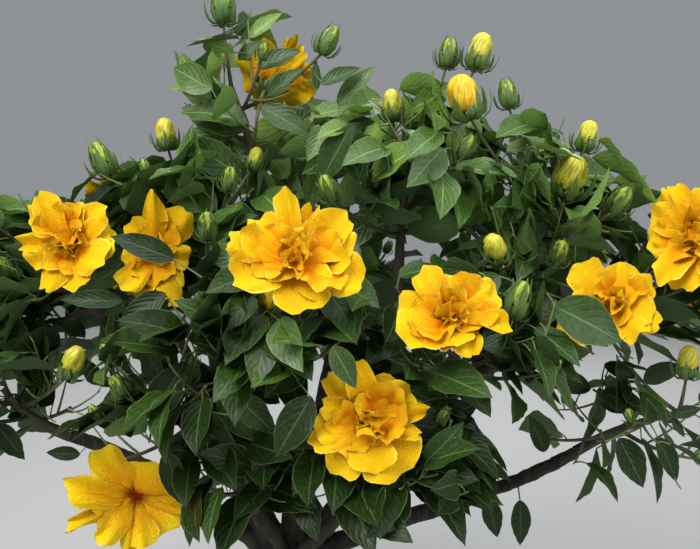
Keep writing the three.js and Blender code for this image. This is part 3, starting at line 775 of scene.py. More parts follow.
def tube_part(path, radii, sides):
    """A closed tube along a path, with a map that runs round it and along it."""
    count = len(path)
    ways = unit(np.gradient(path, axis=0))
    side = sideways(ways[0])
    angles = 2 * math.pi * np.arange(sides) / sides
    rings = []
    for point, way, radius in zip(path, ways, radii):
        side = unit(side - way * (side @ way))
        other = np.cross(way, side)
        rings.append(point + radius * (np.outer(np.cos(angles), side) + np.outer(np.sin(angles), other)))
    points = np.vstack([*rings, path[:1], path[-1:]])
    faces, places = [], []
    for ring in range(count - 1):
        for i in range(sides):
            j = (i + 1) % sides
            faces.append((ring * sides + i, ring * sides + j, (ring + 1) * sides + j, (ring + 1) * sides + i))
            u, v = i / sides, ring / (count - 1)
            step_u, step_v = 1 / sides, 1 / (count - 1)
            places += [(u, v), (u + step_u, v), (u + step_u, v + step_v), (u, v + step_v)]
    corners = [corner for face in faces for corner in face]
    starts = list(range(0, len(corners), 4))
    last = (count - 1) * sides
    for i in range(sides):
        j = (i + 1) % sides
        caps = ((j, i, count * sides), 0.0), ((last + i, last + j, count * sides + 1), 1.0)
        for ends, height in caps:
            starts.append(len(corners))
            corners += ends
            places += [(i / sides, height)] * 3
    return points, np.array(corners), np.array(starts), np.array(places, float)


def curve_tube(controls, radii, sides, steps):
    shares = np.linspace(0, 1, steps + 1)
    return tube_part(along_curve(controls, shares), tapered(radii, shares), sides)


print("tubes ready")

# %% Join many parts in one piece
def joined_piece(name, parts, finish, slot):
    """One mesh from many parts, each (points in millimetres, corners, starts, map)."""
    point_count = np.cumsum([0] + [len(part[0]) for part in parts])
    corner_count = np.cumsum([0] + [len(part[1]) for part in parts])
    points = np.vstack([part[0] for part in parts]) / 1000
    corners = np.concatenate([part[1] + point_count[i] for i, part in enumerate(parts)])
    starts = np.concatenate([part[2] + corner_count[i] for i, part in enumerate(parts)])
    places = np.vstack([part[3] for part in parts])
    mesh = bpy.data.meshes.new(name)
    mesh.vertices.add(len(points))
    mesh.vertices.foreach_set("co", points.ravel())
    mesh.loops.add(len(corners))
    mesh.loops.foreach_set("vertex_index", corners.astype(np.int32))
    mesh.polygons.add(len(starts))
    mesh.polygons.foreach_set("loop_start", starts.astype(np.int32))
    mesh.uv_layers.new(name="OFBake").data.foreach_set("uv", places.ravel())
    mesh.update(calc_edges=True)
    mesh.validate()
    mesh.polygons.foreach_set("use_smooth", np.ones(len(mesh.polygons), bool))
    mesh.set_sharp_from_angle(angle=math.radians(80))
    mesh.materials.append(finish.material)
    piece = bpy.data.objects.new(name, mesh)
    bpy.context.collection.objects.link(piece)
    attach(piece, "root")
    print(name, len(mesh.polygons), "faces")
    return piece


print("joining ready")

# %% Woody stems
stem_finish = Finish("young bark", Roughness=0.75)
place, _, along = stem_finish.own_map()
streaks = stem_finish.cloudy(stem_finish.stretched(place, (9, 3, 1)), 3, 4)
dots = stem_finish.cloudy(stem_finish.stretched(place, (8, 22, 1)), 4, 2)
wooden = stem_finish.mix(along.between(0.0, 0.9), (0.03, 0.023, 0.016), (0.09, 0.1, 0.035))
streaked = stem_finish.mix(streaks.between(0.4, 0.7) * (along * 0.8 + 0.2), wooden, (0.13, 0.105, 0.06))
dotted = stem_finish.mix(dots.between(0.64, 0.72) * 0.6, streaked, (0.25, 0.21, 0.15))
stem_finish.set(Base_Color=dotted, Normal=stem_finish.bump(streaks + dots * 0.5, 0.5, 0.0008))

STEM_TIP, SHOOT_RADII = 3.2, (2.9, 1.5)
tip_radii = {name: radii[1] for name, *_, radii in LIMBS}
stem_parts = [curve_tube(stems[mass.name], (tip_radii[mass.limb] * 0.98, STEM_TIP), 8, 12) for mass in MASSES]
for mass_shoots in shoots:
    stem_parts += [curve_tube(curve, SHOOT_RADII, 6, 10) for curve, _ in mass_shoots]
joined_piece("stems", stem_parts, stem_finish, "bark")

# %% Green twigs
twig_finish = Finish("green twig", Roughness=0.5)
place, _, along = twig_finish.own_map()
streaks = twig_finish.cloudy(twig_finish.stretched(place, (7, 3, 1)), 3, 3)
green = twig_finish.mix(along.between(0.0, 0.9), (0.08, 0.1, 0.028), (0.12, 0.21, 0.045))
twig_finish.set(
    Base_Color=twig_finish.mix(streaks.between(0.45, 0.7) * 0.6, green, (0.19, 0.18, 0.08)),
    Normal=twig_finish.bump(streaks, 0.35, 0.0005),
)
TWIG_RADII, STALK_RADII = (1.7, 0.8), (1.7, 2.6)
twig_parts = [curve_tube(twig, TWIG_RADII, 5, 5) for mass_twigs in twigs for twig in mass_twigs]
twig_parts += [curve_tube(stalks[bloom.name], STALK_RADII, 6, 8) for bloom in BLOOMS]
print(len(twig_parts), "twigs and stalks")

# %% [markdown]
# ## One leaf
# A leaf is egg-shaped with a drawn-out tip and coarse teeth on its outer half; the grid gives it the
# outline without the teeth, and a rim that waves a little. It could be a picture on a card, but then
# its outline would be lost from the side. It is a small grid instead: each row is widened to the
# outline, the halves are folded up from the midrib, and the sheet gets an underside that meets it
# along the rim.

# %% Shape a sheet
def flat_grid(columns, rows):
    """A flat square grid, one unit wide, that runs from the origin along +Y. It stays in edit mode."""
    start_alone()
    bpy.ops.mesh.primitive_grid_add(x_subdivisions=columns, y_subdivisions=rows, size=1, location=(0, 0.5, 0))
    grid = bpy.context.object
    bpy.ops.object.transform_apply(location=True)
    bpy.ops.object.mode_set(mode="EDIT")
    return grid


def shape_rows(rows, out_of_way=5):
    """Gives each row of the grid its half width, place along and height. Finished rows wait high up."""
    last = len(rows) - 1
    for number, (half, along, rise) in enumerate(rows):
        pick(lambda co: co.z < 2 and abs(co.y - number / last) < 0.01)
        bpy.ops.transform.resize(value=(2 * half, 1, 1), center_override=(0, 0, 0))
        bpy.ops.transform.translate(value=(0, along - number / last, out_of_way + rise))
    bpy.ops.mesh.select_all(action="SELECT")
    lift(-out_of_way)


def close_sheet(piece, thickness):
    """Gives an open sheet an underside that meets it along its rim, and a map of two halves."""
    mesh = bmesh.from_edit_mesh(piece.data)
    rim = [tuple(vertex.co) for vertex in mesh.verts if vertex.is_boundary]
    bpy.ops.mesh.select_all(action="SELECT")
    draw_out((0, 0, -thickness))
    mesh = bmesh.from_edit_mesh(piece.data)
    lowered = {tuple(round(value, 5) for value in (x, y, z - thickness)): z for x, y, z in rim}
    for vertex in mesh.verts:
        key = tuple(round(value, 5) for value in vertex.co)
        if vertex.select and key in lowered:
            vertex.co.z = lowered[key]
    bmesh.update_edit_mesh(piece.data)
    bpy.ops.mesh.select_all(action="SELECT")
    bpy.ops.mesh.remove_doubles(threshold=thickness * 0.3)
    stop_editing()
    places = piece.data.uv_layers.active.data
    for face in piece.data.polygons:
        for corner in face.loop_indices:
            u, v = places[corner].uv
            places[corner].uv = (u / 2 if face.normal.z > 0 else 0.5 + u / 2, v)
    return piece


def take_shape(piece):
    """A finished shape as arrays: points, the corners of its faces, where each face starts, and its map."""
    mesh = piece.data
    points = read(mesh.vertices, "co", 3)
    corners = read(mesh.loops, "vertex_index", kind=int)
    starts = read(mesh.polygons, "loop_start", kind=int)
    places = read(mesh.uv_layers.active.data, "uv", 2)
    bpy.data.objects.remove(piece)
    return points, corners, starts, places


print("sheets ready")

# %% Model the leaf
# share along, half width, for each row of the grid
LEAF_ROWS = [
    (0, 0.0), (0.04, 0.08), (0.11, 0.152), (0.2, 0.204), (0.3, 0.236), (0.41, 0.245), (0.52, 0.238),
    (0.62, 0.203), (0.71, 0.176), (0.8, 0.118), (0.88, 0.08), (0.95, 0.028), (1, 0.0),
]
POINTED = 5e-6  # the half width of a pointed end, so that its three vertices stay apart
leaf = flat_grid(2, len(LEAF_ROWS) - 1)
shape_rows([(half + POINTED, share, 0) for share, half in LEAF_ROWS])
for number, (share, half) in enumerate(LEAF_ROWS):
    for side in (-1, 1):
        ripple = 0.03 * math.sin(1.5 * number + 1.3 * (side + 1))
        edge = side * (half + POINTED)
        pick(lambda co: abs(co.y - share) < 1e-4 and abs(co.x - edge) < 2e-6 + 0.02 * half)
        lift(0.08 * min(1, 4 * half) + ripple * half * 3)
leaf_shape = take_shape(close_sheet(leaf, 0.008))
print("leaf", len(leaf_shape[0]), "points", len(leaf_shape[2]), "faces")

# %% [markdown]
# ## Leaf finishes
# The blade is glossy dark green above, with a paler midrib, side veins between which it swells a
# little, and a thin pale rim, which is a painted highlight along its edge. The underside is paler
# and dull. All leaves share one map, so a pattern on that map stays crisp on each of them. A hue that
# changes with the place in the crown could do for all leaves, but four plain finishes, dealt out leaf
# by leaf, give the same play of greens, and their darker greens low down and inside are painted shade.

# %% Write a leaf finish
def leaf_finish(name, deep, light, gloss, sheen):
    finish = Finish(name, Specular_IOR_Level=0.16 + 2 * sheen, Coat_Roughness=0.28)
    place, _, v, under, away = finish.two_sided_map()
    midrib = 1 - away.between(0.02, 0.075)
    rise = (v * 7.5 - away * 2.3 - away * away * 0.6).math("FRACT")
    beside = (rise - 0.5).math("ABSOLUTE") * 2
    vein = beside.between(0.86, 0.98) * (1 - away.between(0.72, 0.95))
    swell = 1 - beside * beside
    mottle = finish.cloudy(finish.stretched(place, (5, 9, 1)), 2.2, 4)

    def paler(times, more):
        return [times * value + more for value in light]

    blade = finish.mix(mottle.between(0.35, 0.7), deep, light)
    veined = finish.mix(vein * 0.45, blade, paler(1.7, 0.02))
    ribbed = finish.mix(midrib * 0.7, veined, paler(2.2, 0.05))
    # the pale rim is a painted highlight along the leaf's edge
    rimmed = finish.mix(away.between(0.94, 0.995) * 0.6, ribbed, (0.22, 0.3, 0.09))
    colour = finish.mix(under * 0.75, rimmed, paler(1.9, 0.03))
    height = swell * 0.6 - vein * 0.5 - midrib * 0.8 + mottle * 0.25
    finish.set(
        Base_Color=colour,
        Roughness=mottle * 0.14 + under * 0.22 + gloss,
        Coat_Weight=sheen - under * 0.9 * sheen,
        Normal=finish.bump(height, 0.38, 0.0012),
    )
    return finish


leaf_finishes = {
    "leaves_deep": leaf_finish("deep green leaf", (0.007, 0.021, 0.002), (0.016, 0.041, 0.004), 0.34, 0.05),
    "leaves_mid": leaf_finish("mid green leaf", (0.018, 0.05, 0.006), (0.036, 0.086, 0.01), 0.36, 0.11),
    "leaves_fresh": leaf_finish("fresh green leaf", (0.042, 0.102, 0.011), (0.08, 0.165, 0.021), 0.38, 0.2),
    "leaves_young": leaf_finish("young green leaf", (0.1, 0.2, 0.024), (0.17, 0.29, 0.042), 0.4, 0.2),
}
print(len(leaf_finishes), "leaf finishes")

# %% [markdown]
# ## Leaves on the twigs
# A leaf stands on a thin stalk, a golden angle on from the one before, points out and hangs, and
# turns its upper side out of the crown and up. A particle system would strew leaves faster, but it
# can't test them. Here one that would leave its mass, touch a bloom or hide a bud, a bloom or the
# low left bough, all of which the photograph sees past every leaf, is tried at other turns, then
# skipped.

# %% What stays in sight
VIEWPOINT = np.array(CAMERA_PLACE)
GAP_OVER_LOW_BOUGH = (-288, 110, 441)
# how wide a line of sight stays clear of leaves, and over which millimetres towards the camera
BUD_SIGHT, BOUGH_SIGHT, GAP_SIGHT = (15, range(0, 170, 22)), (14, range(16, 130, 20)), (26, range(0, 290, 22))
BLOOM_SIGHT = range(10, 170, 25)


def line_of_sight(point, radius, steps):
    """Rods on the way from a point to the camera, which leaves keep clear of."""
    point = np.array(point, float)
    return [(*(point + unit(VIEWPOINT - point) * step), radius) for step in steps]


low_bough = np.vstack([
    along_curve(curves["bough_left_low"], np.linspace(0.3, 1, 12)),
    along_curve(stems["leaves_left_low"], np.linspace(0, 1, 9)),
])
buds_in_sight = [bud[:3] for mass in MASSES for bud in mass.buds if bud[1] < 50]
lines = []
for x, y, z in buds_in_sight:
    lines += [line_of_sight((x, y, z + rise), *BUD_SIGHT) for rise in (4, 24)]
lines += [line_of_sight(point, *BOUGH_SIGHT) for point in low_bough]
lines.append(line_of_sight(GAP_OVER_LOW_BOUGH, *GAP_SIGHT))
for bloom in FRONT_BLOOMS:
    if bloom.name != "bloom_left_back":
        lines.append(line_of_sight(bloom.at, 0.4 * bloom.width, BLOOM_SIGHT))
sight_rods = np.vstack(lines)
print(len(sight_rods), "points in sight")

# %% Grow one leaf
Leaf = namedtuple("Leaf", "foot joint axes length bend late")
PETIOLE = 15
LEAF_FILL = 0.94  # leaves may come a little nearer to a bloom than shoots
CROWN_MIDDLE, CROWN_REACH = np.array((40, 30, 480)), np.array((430, 300, 420))
# points of a blade, across and along, that are tested
LEAF_PLACES = np.array([
    (0, 0.05), (-0.25, 0.25), (0, 0.25), (0.25, 0.25), (-0.27, 0.5), (0, 0.5), (0.27, 0.5), (-0.17, 0.75),
    (0.17, 0.75), (0, 1.0),
])


def grow_leaf(foot, ahead, turn, random, length, own, late):
    """One leaf, its blade jointed to the end of its stalk, or nothing where it has no room."""
    out = across_twig(ahead, turn)
    way = unit(0.5 * ahead + 0.87 * out)
    joint = foot + way * PETIOLE * (0.8 + 0.5 * random())
    outward = unit((foot - CROWN_MIDDLE) * (1, 1, 0) + 1e-6)
    hang = 0.1 + 0.55 * random() + 0.35 * max(0, (560 - foot[2]) / 300)
    direction = unit(way * 0.8 + outward * 0.4 + np.array((0, 0, -hang)))
    face = outward * 0.85 + UP * 0.6
    face = unit(face - direction * (face @ direction))
    roll = 0.9 * (random() - 0.5)
    across = np.cross(direction, face)
    cos, sin = math.cos(roll), math.sin(roll)
    across, face = across * cos + face * sin, face * cos - across * sin
    bend = 0.06 + 0.22 * random()
    along = LEAF_PLACES[:, 1]
    points = np.outer(LEAF_PLACES[:, 0], across) + np.outer(along - 0.4 * bend * along**2, direction)
    points = joint + length * (points - np.outer(bend * along**2, face))
    inside = within_reach(points, own) and below_edge(points, own) and not in_bloom(points, LEAF_FILL)
    if inside and clear_of(points[1:], limb_rods, 1) and clear_of(points, sight_rods, 0):
        return Leaf(foot, joint, np.array((across, direction, face)), length, bend, late)
    return None


print("each leaf is tested at", len(LEAF_PLACES), "points")

# %% Grow all leaves
def leaves_along(curve, own, seed, low, high, spacing, size):
    """Leaves between two shares of a curve, which get younger towards its end."""
    random = seeded(seed)
    shares = np.linspace(0, 1, 25)
    path = along_curve(curve, shares)
    run = np.concatenate([[0], np.cumsum(np.linalg.norm(np.diff(path, axis=0), axis=1))])
    count = max(1, round(run[-1] * (high - low) / spacing))
    grown = []
    for i in range(count):
        reach = run[-1] * (low + (high - low) * (i + 0.8) / count)
        share = np.interp(reach, run, shares)
        foot = along_curve(curve, share)[0]
        ahead = way_along(curve, share, 0.02)
        length = size * (0.78 + 0.36 * random()) * (0.85 if i == count - 1 else 1)
        for attempt in range(7):
            turn = seed + i * GOLDEN_TURN + attempt * 0.75
            made = grow_leaf(foot, ahead, turn, random, length, own, (i + 1) / count)
            if made:
                grown.append(made)
                break
    return grown


LEAF_SIZE = 92
LEAF_SPACING = 18.5
# how many times the usual spacing a thinner or a denser mass has
SPARSE = {
    "leaves_right_low": 3.0, "leaves_back_left": 1.3, "leaves_front_low": 1.1, "leaves_front_left": 1.05,
    "leaves_left": 0.72, "leaves_left_low": 0.68,
}
grown_leaves = []
for own, mass in enumerate(MASSES):
    apart = LEAF_SPACING * SPARSE.get(mass.name, 1)
    grown_leaves += leaves_along(stems[mass.name], own, 5000 + own, 0.3, 1, apart, LEAF_SIZE)
    for number, (curve, bud) in enumerate(shoots[own]):
        seed, end = 6000 + 100 * own + number, 0.82 if bud else 0.94
        grown_leaves += leaves_along(curve, own, seed, 0.16, end, apart, LEAF_SIZE)
    for number, twig in enumerate(twigs[own]):
        seed = 9000 + 100 * own + number
        grown_leaves += leaves_along(twig, own, seed, 0.3, 1.0, 1.3 * apart, 0.9 * LEAF_SIZE)
print(len(grown_leaves), "leaves")

# %% [markdown]
# ## Leaves that stand out
# Some leaves make the picture: they cross a bloom, stand up from the crown's top or hang from the
# low boughs. Chance doesn't put them there. So their two ends are read off the photograph in pixels,
# with a depth judged by what they cover, and each gets a stalk from the nearest limb, shoot or twig.

# %% Leaves read off the photograph
PICTURE_WIDTH, PICTURE_MIDDLE = 700, (350, 274.5)


def behind_pixel(u, v, depth):
    """The place that the photograph shows at a pixel, at a depth from front to back (Y)."""
    reach = PICTURE_WIDTH * LENS / SENSOR
    x, z = (u - PICTURE_MIDDLE[0]) / reach, (PICTURE_MIDDLE[1] - v) / reach
    level, drop = math.cos(CAMERA_TILT), math.sin(CAMERA_TILT)
    ray = np.array((x, level + z * drop, z * level - drop))
    return np.round(VIEWPOINT + ray * (depth - VIEWPOINT[1]) / ray[1])


# pixel and depth of the blade's foot, the same of its tip, width over the usual one
SEEN_LEAVES = {
    "over the blooms": [
        ((175, 260), -125, (107, 232), -135, 0.75), ((554, 306), -165, (629, 342), -170, 1.2),
        ((257, 68), -20, (302, 47), -35, 0.8), ((268, 96), -25, (304, 65), -40, 0.8),
        ((261, 107), -30, (312, 134), -50, 0.8),
    ],
    "at the top left": [
        ((249, 38), -5, (283, 9), -5, 0.7), ((238, 60), -20, (264, 38), -20, 0.9),
        ((232, 52), -30, (196, 36), -40, 0.8),
    ],
    "in the middle": [
        ((333, 346), -255, (358, 391), -262, 1.0), ((312, 396), -215, (272, 461), -225, 1.0),
        ((166, 450), -150, (183, 511), -152, 0.8),
    ],
    "between the upper blooms": [
        ((317, 90), -30, (315, 57), -36, 0.6), ((321, 84), -34, (362, 64), -38, 0.75),
        ((166, 294), -118, (114, 327), -130, 0.85), ((122, 301), -100, (56, 298), -112, 0.6),
        ((338, 106), -20, (376, 62), -30, 0.75), ((330, 128), -40, (376, 119), -60, 0.95),
        ((326, 126), -45, (306, 162), -62, 0.9),
    ],
    "low on the left": [
        ((143, 427), -150, (83, 412), -165, 0.9), ((153, 415), -150, (186, 358), -162, 1.0),
    ],
    "low on the right": [
        ((591, 389), -70, (532, 373), -75, 0.75), ((554, 351), -70, (577, 373), -80, 0.9),
        ((604, 364), -70, (640, 378), -80, 0.9), ((600, 392), -75, (652, 411), -85, 0.95),
        ((601, 404), -70, (627, 413), -80, 0.8), ((672, 415), -72, (704, 407), -80, 0.85),
        ((671, 418), -72, (686, 438), -82, 0.8), ((657, 437), -72, (681, 486), -80, 0.8),
        ((619, 438), -72, (648, 491), -82, 1.0), ((487, 497), -75, (499, 541), -85, 0.95),
        ((520, 500), -75, (521, 549), -85, 0.85), ((546, 452), -72, (530, 414), -80, 0.9),
    ],
    "from the low left bough": [
        ((80, 455), -45, (44, 452), -55, 0.85), ((-4, 423), -60, (25, 462), -66, 0.95),
    ],
}
wood = [curve for name, curve in curves.items() if name != "trunk"]
for own, mass in enumerate(MASSES):
    wood += [stems[mass.name], *(curve for curve, _ in shoots[own]), *twigs[own]]
carriers = np.vstack([along_curve(curve, np.linspace(0, 1, 40)) for curve in wood])
TOWARDS_US = unit(np.array((0, -0.9, 0.35)))
for where, seen in SEEN_LEAVES.items():
    for foot_pixel, foot_depth, tip_pixel, tip_depth, broad in seen:
        joint, tip = behind_pixel(*foot_pixel, foot_depth), behind_pixel(*tip_pixel, tip_depth)
        foot = carriers[np.argmin(np.linalg.norm(carriers - joint, axis=1))]
        length = np.linalg.norm(tip - joint)
        direction = (tip - joint) / length
        face = unit(TOWARDS_US - direction * (TOWARDS_US @ direction))
        axes = np.array((np.cross(direction, face) * broad, direction, face))
        grown_leaves.append(Leaf(foot, joint, axes, length, 0.12, 0.0))
    print(len(seen), "leaves", where)

# %% [markdown]
# ## All leaves together
# The lighter greens sit high, outside and at the ends of the shoots, and the deep ones inside and low
# down. At the ends of the shoots they are young leaves, while lighter high up and outside is painted
# light and darker inside and low down is painted shade. Each leaf gets a share of freshness and light
# from where it is, with some chance in it, and that picks its finish. A thousand linked copies would
# be a thousand objects, so the copies are turned and bent as arrays, and all leaves of one finish are
# one mesh. Each gets its thin stalk.

# %% Copy a shape many times
def repeated(shape, axes, feet, sizes, bends=0.0):
    """Copies of a shape, each turned to its axes (across, along, up), and bent down along its length."""
    points, corners, starts, places = shape
    count = len(feet)
    local = np.repeat(points[None], count, axis=0) * np.asarray(sizes)[:, None, None]
    droop = np.broadcast_to(bends, count)[:, None] * points[:, 1] ** 2 * np.asarray(sizes)[:, None]
    local[:, :, 2] -= droop
    local[:, :, 1] -= 0.4 * np.abs(droop) * np.sign(points[:, 1])
    placed = np.einsum("kpa,kax->kpx", local, axes) + feet[:, None]
    all_corners = (corners + len(points) * np.arange(count)[:, None]).ravel()
    all_starts = (starts + len(corners) * np.arange(count)[:, None]).ravel()
    return placed.reshape(-1, 3), all_corners, all_starts, np.tile(places, (count, 1))


print("ready to copy", len(grown_leaves), "leaves")

# %% Deal them out and join them
LEAST_FRESH_AND_LIT = {"leaves_young": 0.85, "leaves_fresh": 0.68, "leaves_mid": 0.48, "leaves_deep": 0}
random = seeded(77)
kinds = {name: [] for name in leaf_finishes}
for leaf in grown_leaves:
    outer = min(1, np.linalg.norm((leaf.joint - CROWN_MIDDLE) / CROWN_REACH))
    height = min(1, max(0, (leaf.joint[2] - 400) / 380))
    # fresher at the shoots' ends; lighter high up and outside and darker low down and inside, as painted
    # light and shade
    freshness_and_light = 0.32 * random() + 0.42 * height + 0.14 * outer + 0.12 * leaf.late
    kinds[next(name for name, least in LEAST_FRESH_AND_LIT.items() if freshness_and_light > least)].append(leaf)
for name, made in kinds.items():
    columns = zip(*((leaf.axes, leaf.joint, leaf.length, leaf.bend) for leaf in made))
    part = repeated(leaf_shape, *(np.array(column) for column in columns))
    joined_piece(name, [part], leaf_finishes[name], "leaves")
PETIOLE_RADII = (1.1, 0.85, 0.75)
for foot, joint, (_, direction, face), *_ in grown_leaves:
    path = np.array([foot, (foot + joint) / 2 + face * 1.2, joint + direction * 1.5])
    twig_parts.append(tube_part(path, PETIOLE_RADII, 4))
joined_piece("green_twigs", twig_parts, twig_finish, "leaves")

# %% [markdown]
# ## Buds and calyces
# Under each bud and bloom stands a cup of five green lobes, and round that a ring of thin bractlets
# that curve outwards. The bud itself is rolled up tight, with creases that wind round it. It could be
# rolled from real petals, but only their outer edges would show. So the cup is a circle drawn up ring
# by ring, whose rim is pulled up into lobes, the bractlet is a bent sheet, and the bud is a tall
# sphere whose rings are creased and each turned a little further.

# %% Model the calyx
start_alone()
CUP_FOOT = 0.1
# radius and rise of each ring over the one before; the last three close the inside of the cup
CUP_RINGS = [(0.3, 0.08), (0.42, 0.2), (0.5, 0.3), (0.5, 0.3), (0.46, 0.0), (0.44, -0.3), (0.2, -0.3)]
bpy.ops.mesh.primitive_circle_add(vertices=20, radius=CUP_FOOT, fill_type="NGON", calc_uvs=True)
calyx = bpy.context.object
bpy.ops.object.mode_set(mode="EDIT")
before = CUP_FOOT
for radius, rise in CUP_RINGS:
    draw_out((0, 0, rise))
    widen(radius / before)
    before = radius


def on_cup_rim(co, lobe):
    """Rim vertices, by where they stand in their lobe: 1 in its middle, -1 between two lobes."""
    share = math.cos(5 * math.atan2(co.y, co.x))
    return 0.7 < co.z < 1.23 and math.hypot(co.x, co.y) > 0.43 and abs(share - lobe) < 0.15


bpy.ops.mesh.select_all(action="DESELECT")
for lobe, rise, draw_in in ((-1, -0.36, 1.0), (0, 0.1, 0.94), (1, 0.8, 0.42)):
    pick(lambda co: on_cup_rim(co, lobe))
    lift(rise)
    widen(draw_in)
stop_editing()
calyx_shape = take_shape(calyx)
print("calyx", len(calyx_shape[2]), "faces")

# %% Model a bractlet
# half width, how far out and how high, for each row
BRACTLET_ROWS = [
    (0.09, 0.0, 0.0), (0.13, 0.33, 0.0), (0.13, 0.55, 0.14), (0.11, 0.67, 0.4), (0.075, 0.73, 0.7),
    (0.008, 0.72, 1.0),
]
bractlet = flat_grid(2, len(BRACTLET_ROWS) - 1)
shape_rows(BRACTLET_ROWS)
bractlet_shape = take_shape(close_sheet(bractlet, 0.04))
print("bractlet", len(bractlet_shape[2]), "faces")

# %% Model the rolled bud
start_alone()
bpy.ops.mesh.primitive_uv_sphere_add(segments=20, ring_count=14, radius=1, calc_uvs=True)
bud = bpy.context.object
bpy.ops.object.mode_set(mode="EDIT")
heights = sorted({round(vertex.co.z, 4) for vertex in bmesh.from_edit_mesh(bud.data).verts})
BUD_SHARES, BUD_RADII = (0, 0.12, 0.4, 0.66, 0.86, 1), (0.0, 0.4, 0.62, 0.54, 0.27, 0.0)
BUD_PROFILE = np.interp(np.linspace(0, 1, len(heights)), BUD_SHARES, BUD_RADII)
BUD_TWIST = 1.5


def on_ring(co, height, angle=None):
    """Vertices at a height of the sphere, all round or at one angle."""
    off = 0 if angle is None else math.remainder(math.atan2(co.y, co.x) - angle, 2 * math.pi)
    return abs(co.z - height) < 0.002 and abs(off) < 0.05


for number, height in enumerate(heights):
    pick(lambda co: on_ring(co, height))
    size = BUD_PROFILE[number] / math.sqrt(max(1 - height * height, 1e-9))
    widen(size, (0, 0, height))
    for crease in range(5):
        pick(lambda co: on_ring(co, height, 2 * math.pi * crease / 5))
        widen(0.8, (0, 0, height))
    pick(lambda co: on_ring(co, height))
    turn = BUD_TWIST * number / len(heights)
    bpy.ops.transform.rotate(value=-turn, orient_axis="Z", center_override=(0, 0, height))
bpy.ops.mesh.select_all(action="SELECT")
widen(1, tall=0.75)
lift(0.95)
stop_editing()
bud_shape = take_shape(bud)
print("bud", len(bud_shape[2]), "faces")

# %% Calyx and bud finishes
calyx_finish = Finish("calyx green", Roughness=0.5)
place, *_ = calyx_finish.own_map()
specks = calyx_finish.cloudy(place, 14, 4)
calyx_finish.set(
    Base_Color=calyx_finish.mix(specks.between(0.35, 0.7), (0.05, 0.11, 0.02), (0.16, 0.26, 0.06)),
    Normal=calyx_finish.bump(specks, 0.4, 0.0006),
)
bud_finishes = {}
for name, low, high in (
    ("ripe", (0.72, 0.34, 0.01), (1.0, 0.72, 0.03)),
    ("turning", (0.36, 0.36, 0.02), (0.82, 0.74, 0.07)),
    ("green", (0.14, 0.26, 0.02), (0.5, 0.6, 0.06)),
):
    finish = Finish(name + " bud", Roughness=0.5)
    place, _, along = finish.own_map()
    folds = finish.cloudy(finish.stretched(place, (26, 3, 1)), 1.5, 3)
    finish.set(
        Base_Color=finish.mix(folds.between(0.4, 0.6) * 0.75 + along * 0.25, low, high),
        Normal=finish.bump(folds, 0.5, 0.0008),
    )
    bud_finishes[name] = finish
print("bud finishes ready")

# %% [markdown]
# ## Buds on their shoots
# The buds of the photograph are at every stage: small green ones, fat ones that show a stripe of
# yellow, and a few that are about to open, whose petals stand high over the cup. Their widths are
# read off it one by one. Those that the rule adds stay small and green.

# %% Cups
def upright_axes(way, turn):
    side = sideways(way)
    other = np.cross(way, side)
    first = side * math.cos(turn) + other * math.sin(turn)
    return np.array((first, np.cross(way, first), way))


def cup_parts(foot, way, size, turn, height=0.8):
    """A calyx and its ring of seven bractlets."""
    axes = upright_axes(way, turn)
    parts = [repeated(calyx_shape, (axes * np.array((1, 1, height))[:, None])[None], foot[None], [size])]
    rays = [turn + 2 * math.pi * i / 7 for i in range(7)]
    outs = [axes[0] * math.cos(ray) + axes[1] * math.sin(ray) for ray in rays]
    turned = np.array([(np.cross(out, way), out, way) for out in outs])
    feet = np.array([foot + out * 0.12 * size for out in outs])
    parts.append(repeated(bractlet_shape, turned, feet, [0.92 * size] * 7))
    return parts


print("a cup has", len(calyx_shape[2]) + 7 * len(bractlet_shape[2]), "faces")

# %% Place the buds
BUD_STATES = {bud[:3]: bud[3:] for mass in MASSES for bud in mass.buds if bud[3:]}
# for each stage, the height of the cup, and width and height of the bud in it
CUP_OF = {
    "ripe": (0.4, 1.0, 0.96), "wide": (0.4, 1.02, 0.9),
    "turning": (0.56, 0.94, 1.02), "green": (1.0, 0.84, 1.05),
}
NAMED_BUD, SMALL_BUD = 17, 13
cups, buds = [], {"ripe": [], "turning": [], "green": []}
random = seeded(411)
for own, mass_shoots in enumerate(shoots):
    for number, (curve, has_bud) in enumerate(mass_shoots):
        if not has_bud:
            continue
        way, foot = unit(end_direction(curve) + 0.7 * UP), np.asarray(curve[-1], float)
        usual = (NAMED_BUD if number < len(named_shoots[MASSES[own].name]) else SMALL_BUD, "green")
        broad, state = BUD_STATES.get(tuple(int(round(value)) for value in foot), usual)
        size = broad / 1.26 * (0.94 + 0.12 * random())
        cup, across, tall = CUP_OF[state]
        cups += cup_parts(foot - way * 2, way, size * 1.26, 6 * random(), cup)
        axes = upright_axes(way, 6 * random()) * np.array((across, across, tall))[:, None]
        buds["turning" if state == "wide" else state].append((axes, foot - way * 2 + way * 0.12 * size, size))
for state, made in buds.items():
    part = repeated(bud_shape, *(np.array(column) for column in zip(*made)))
    joined_piece(state + "_buds", [part], bud_finishes[state], "leaves" if state == "green" else "petals")
print({state: len(made) for state, made in buds.items()}, "buds")

# %% [markdown]
# ## One petal
# A petal is a fan with a rounded, wavy rim, about as long as a thumb. Each bloom has some thirty of
# them, and no two are alike. Modelling each by hand would be honest but endless. So one flat petal
# is modelled as a grid with a rounded outline and an underside, and every petal of a bloom is a copy
# of it, bent outwards and ruffled by its own waves.

# %% Model the petal
# share along, half width, for each row of the grid
PETAL_ROWS = [
    (0, 0.12), (0.12, 0.17), (0.25, 0.25), (0.38, 0.35), (0.5, 0.43), (0.62, 0.485), (0.73, 0.5),
    (0.83, 0.47), (0.91, 0.39), (0.97, 0.27), (1, 0.13),
]
petal = flat_grid(14, len(PETAL_ROWS) - 1)
shape_rows([(half, share, 0) for share, half in PETAL_ROWS])
petal_shape = take_shape(close_sheet(petal, 0.012))
print("petal", len(petal_shape[2]), "faces")
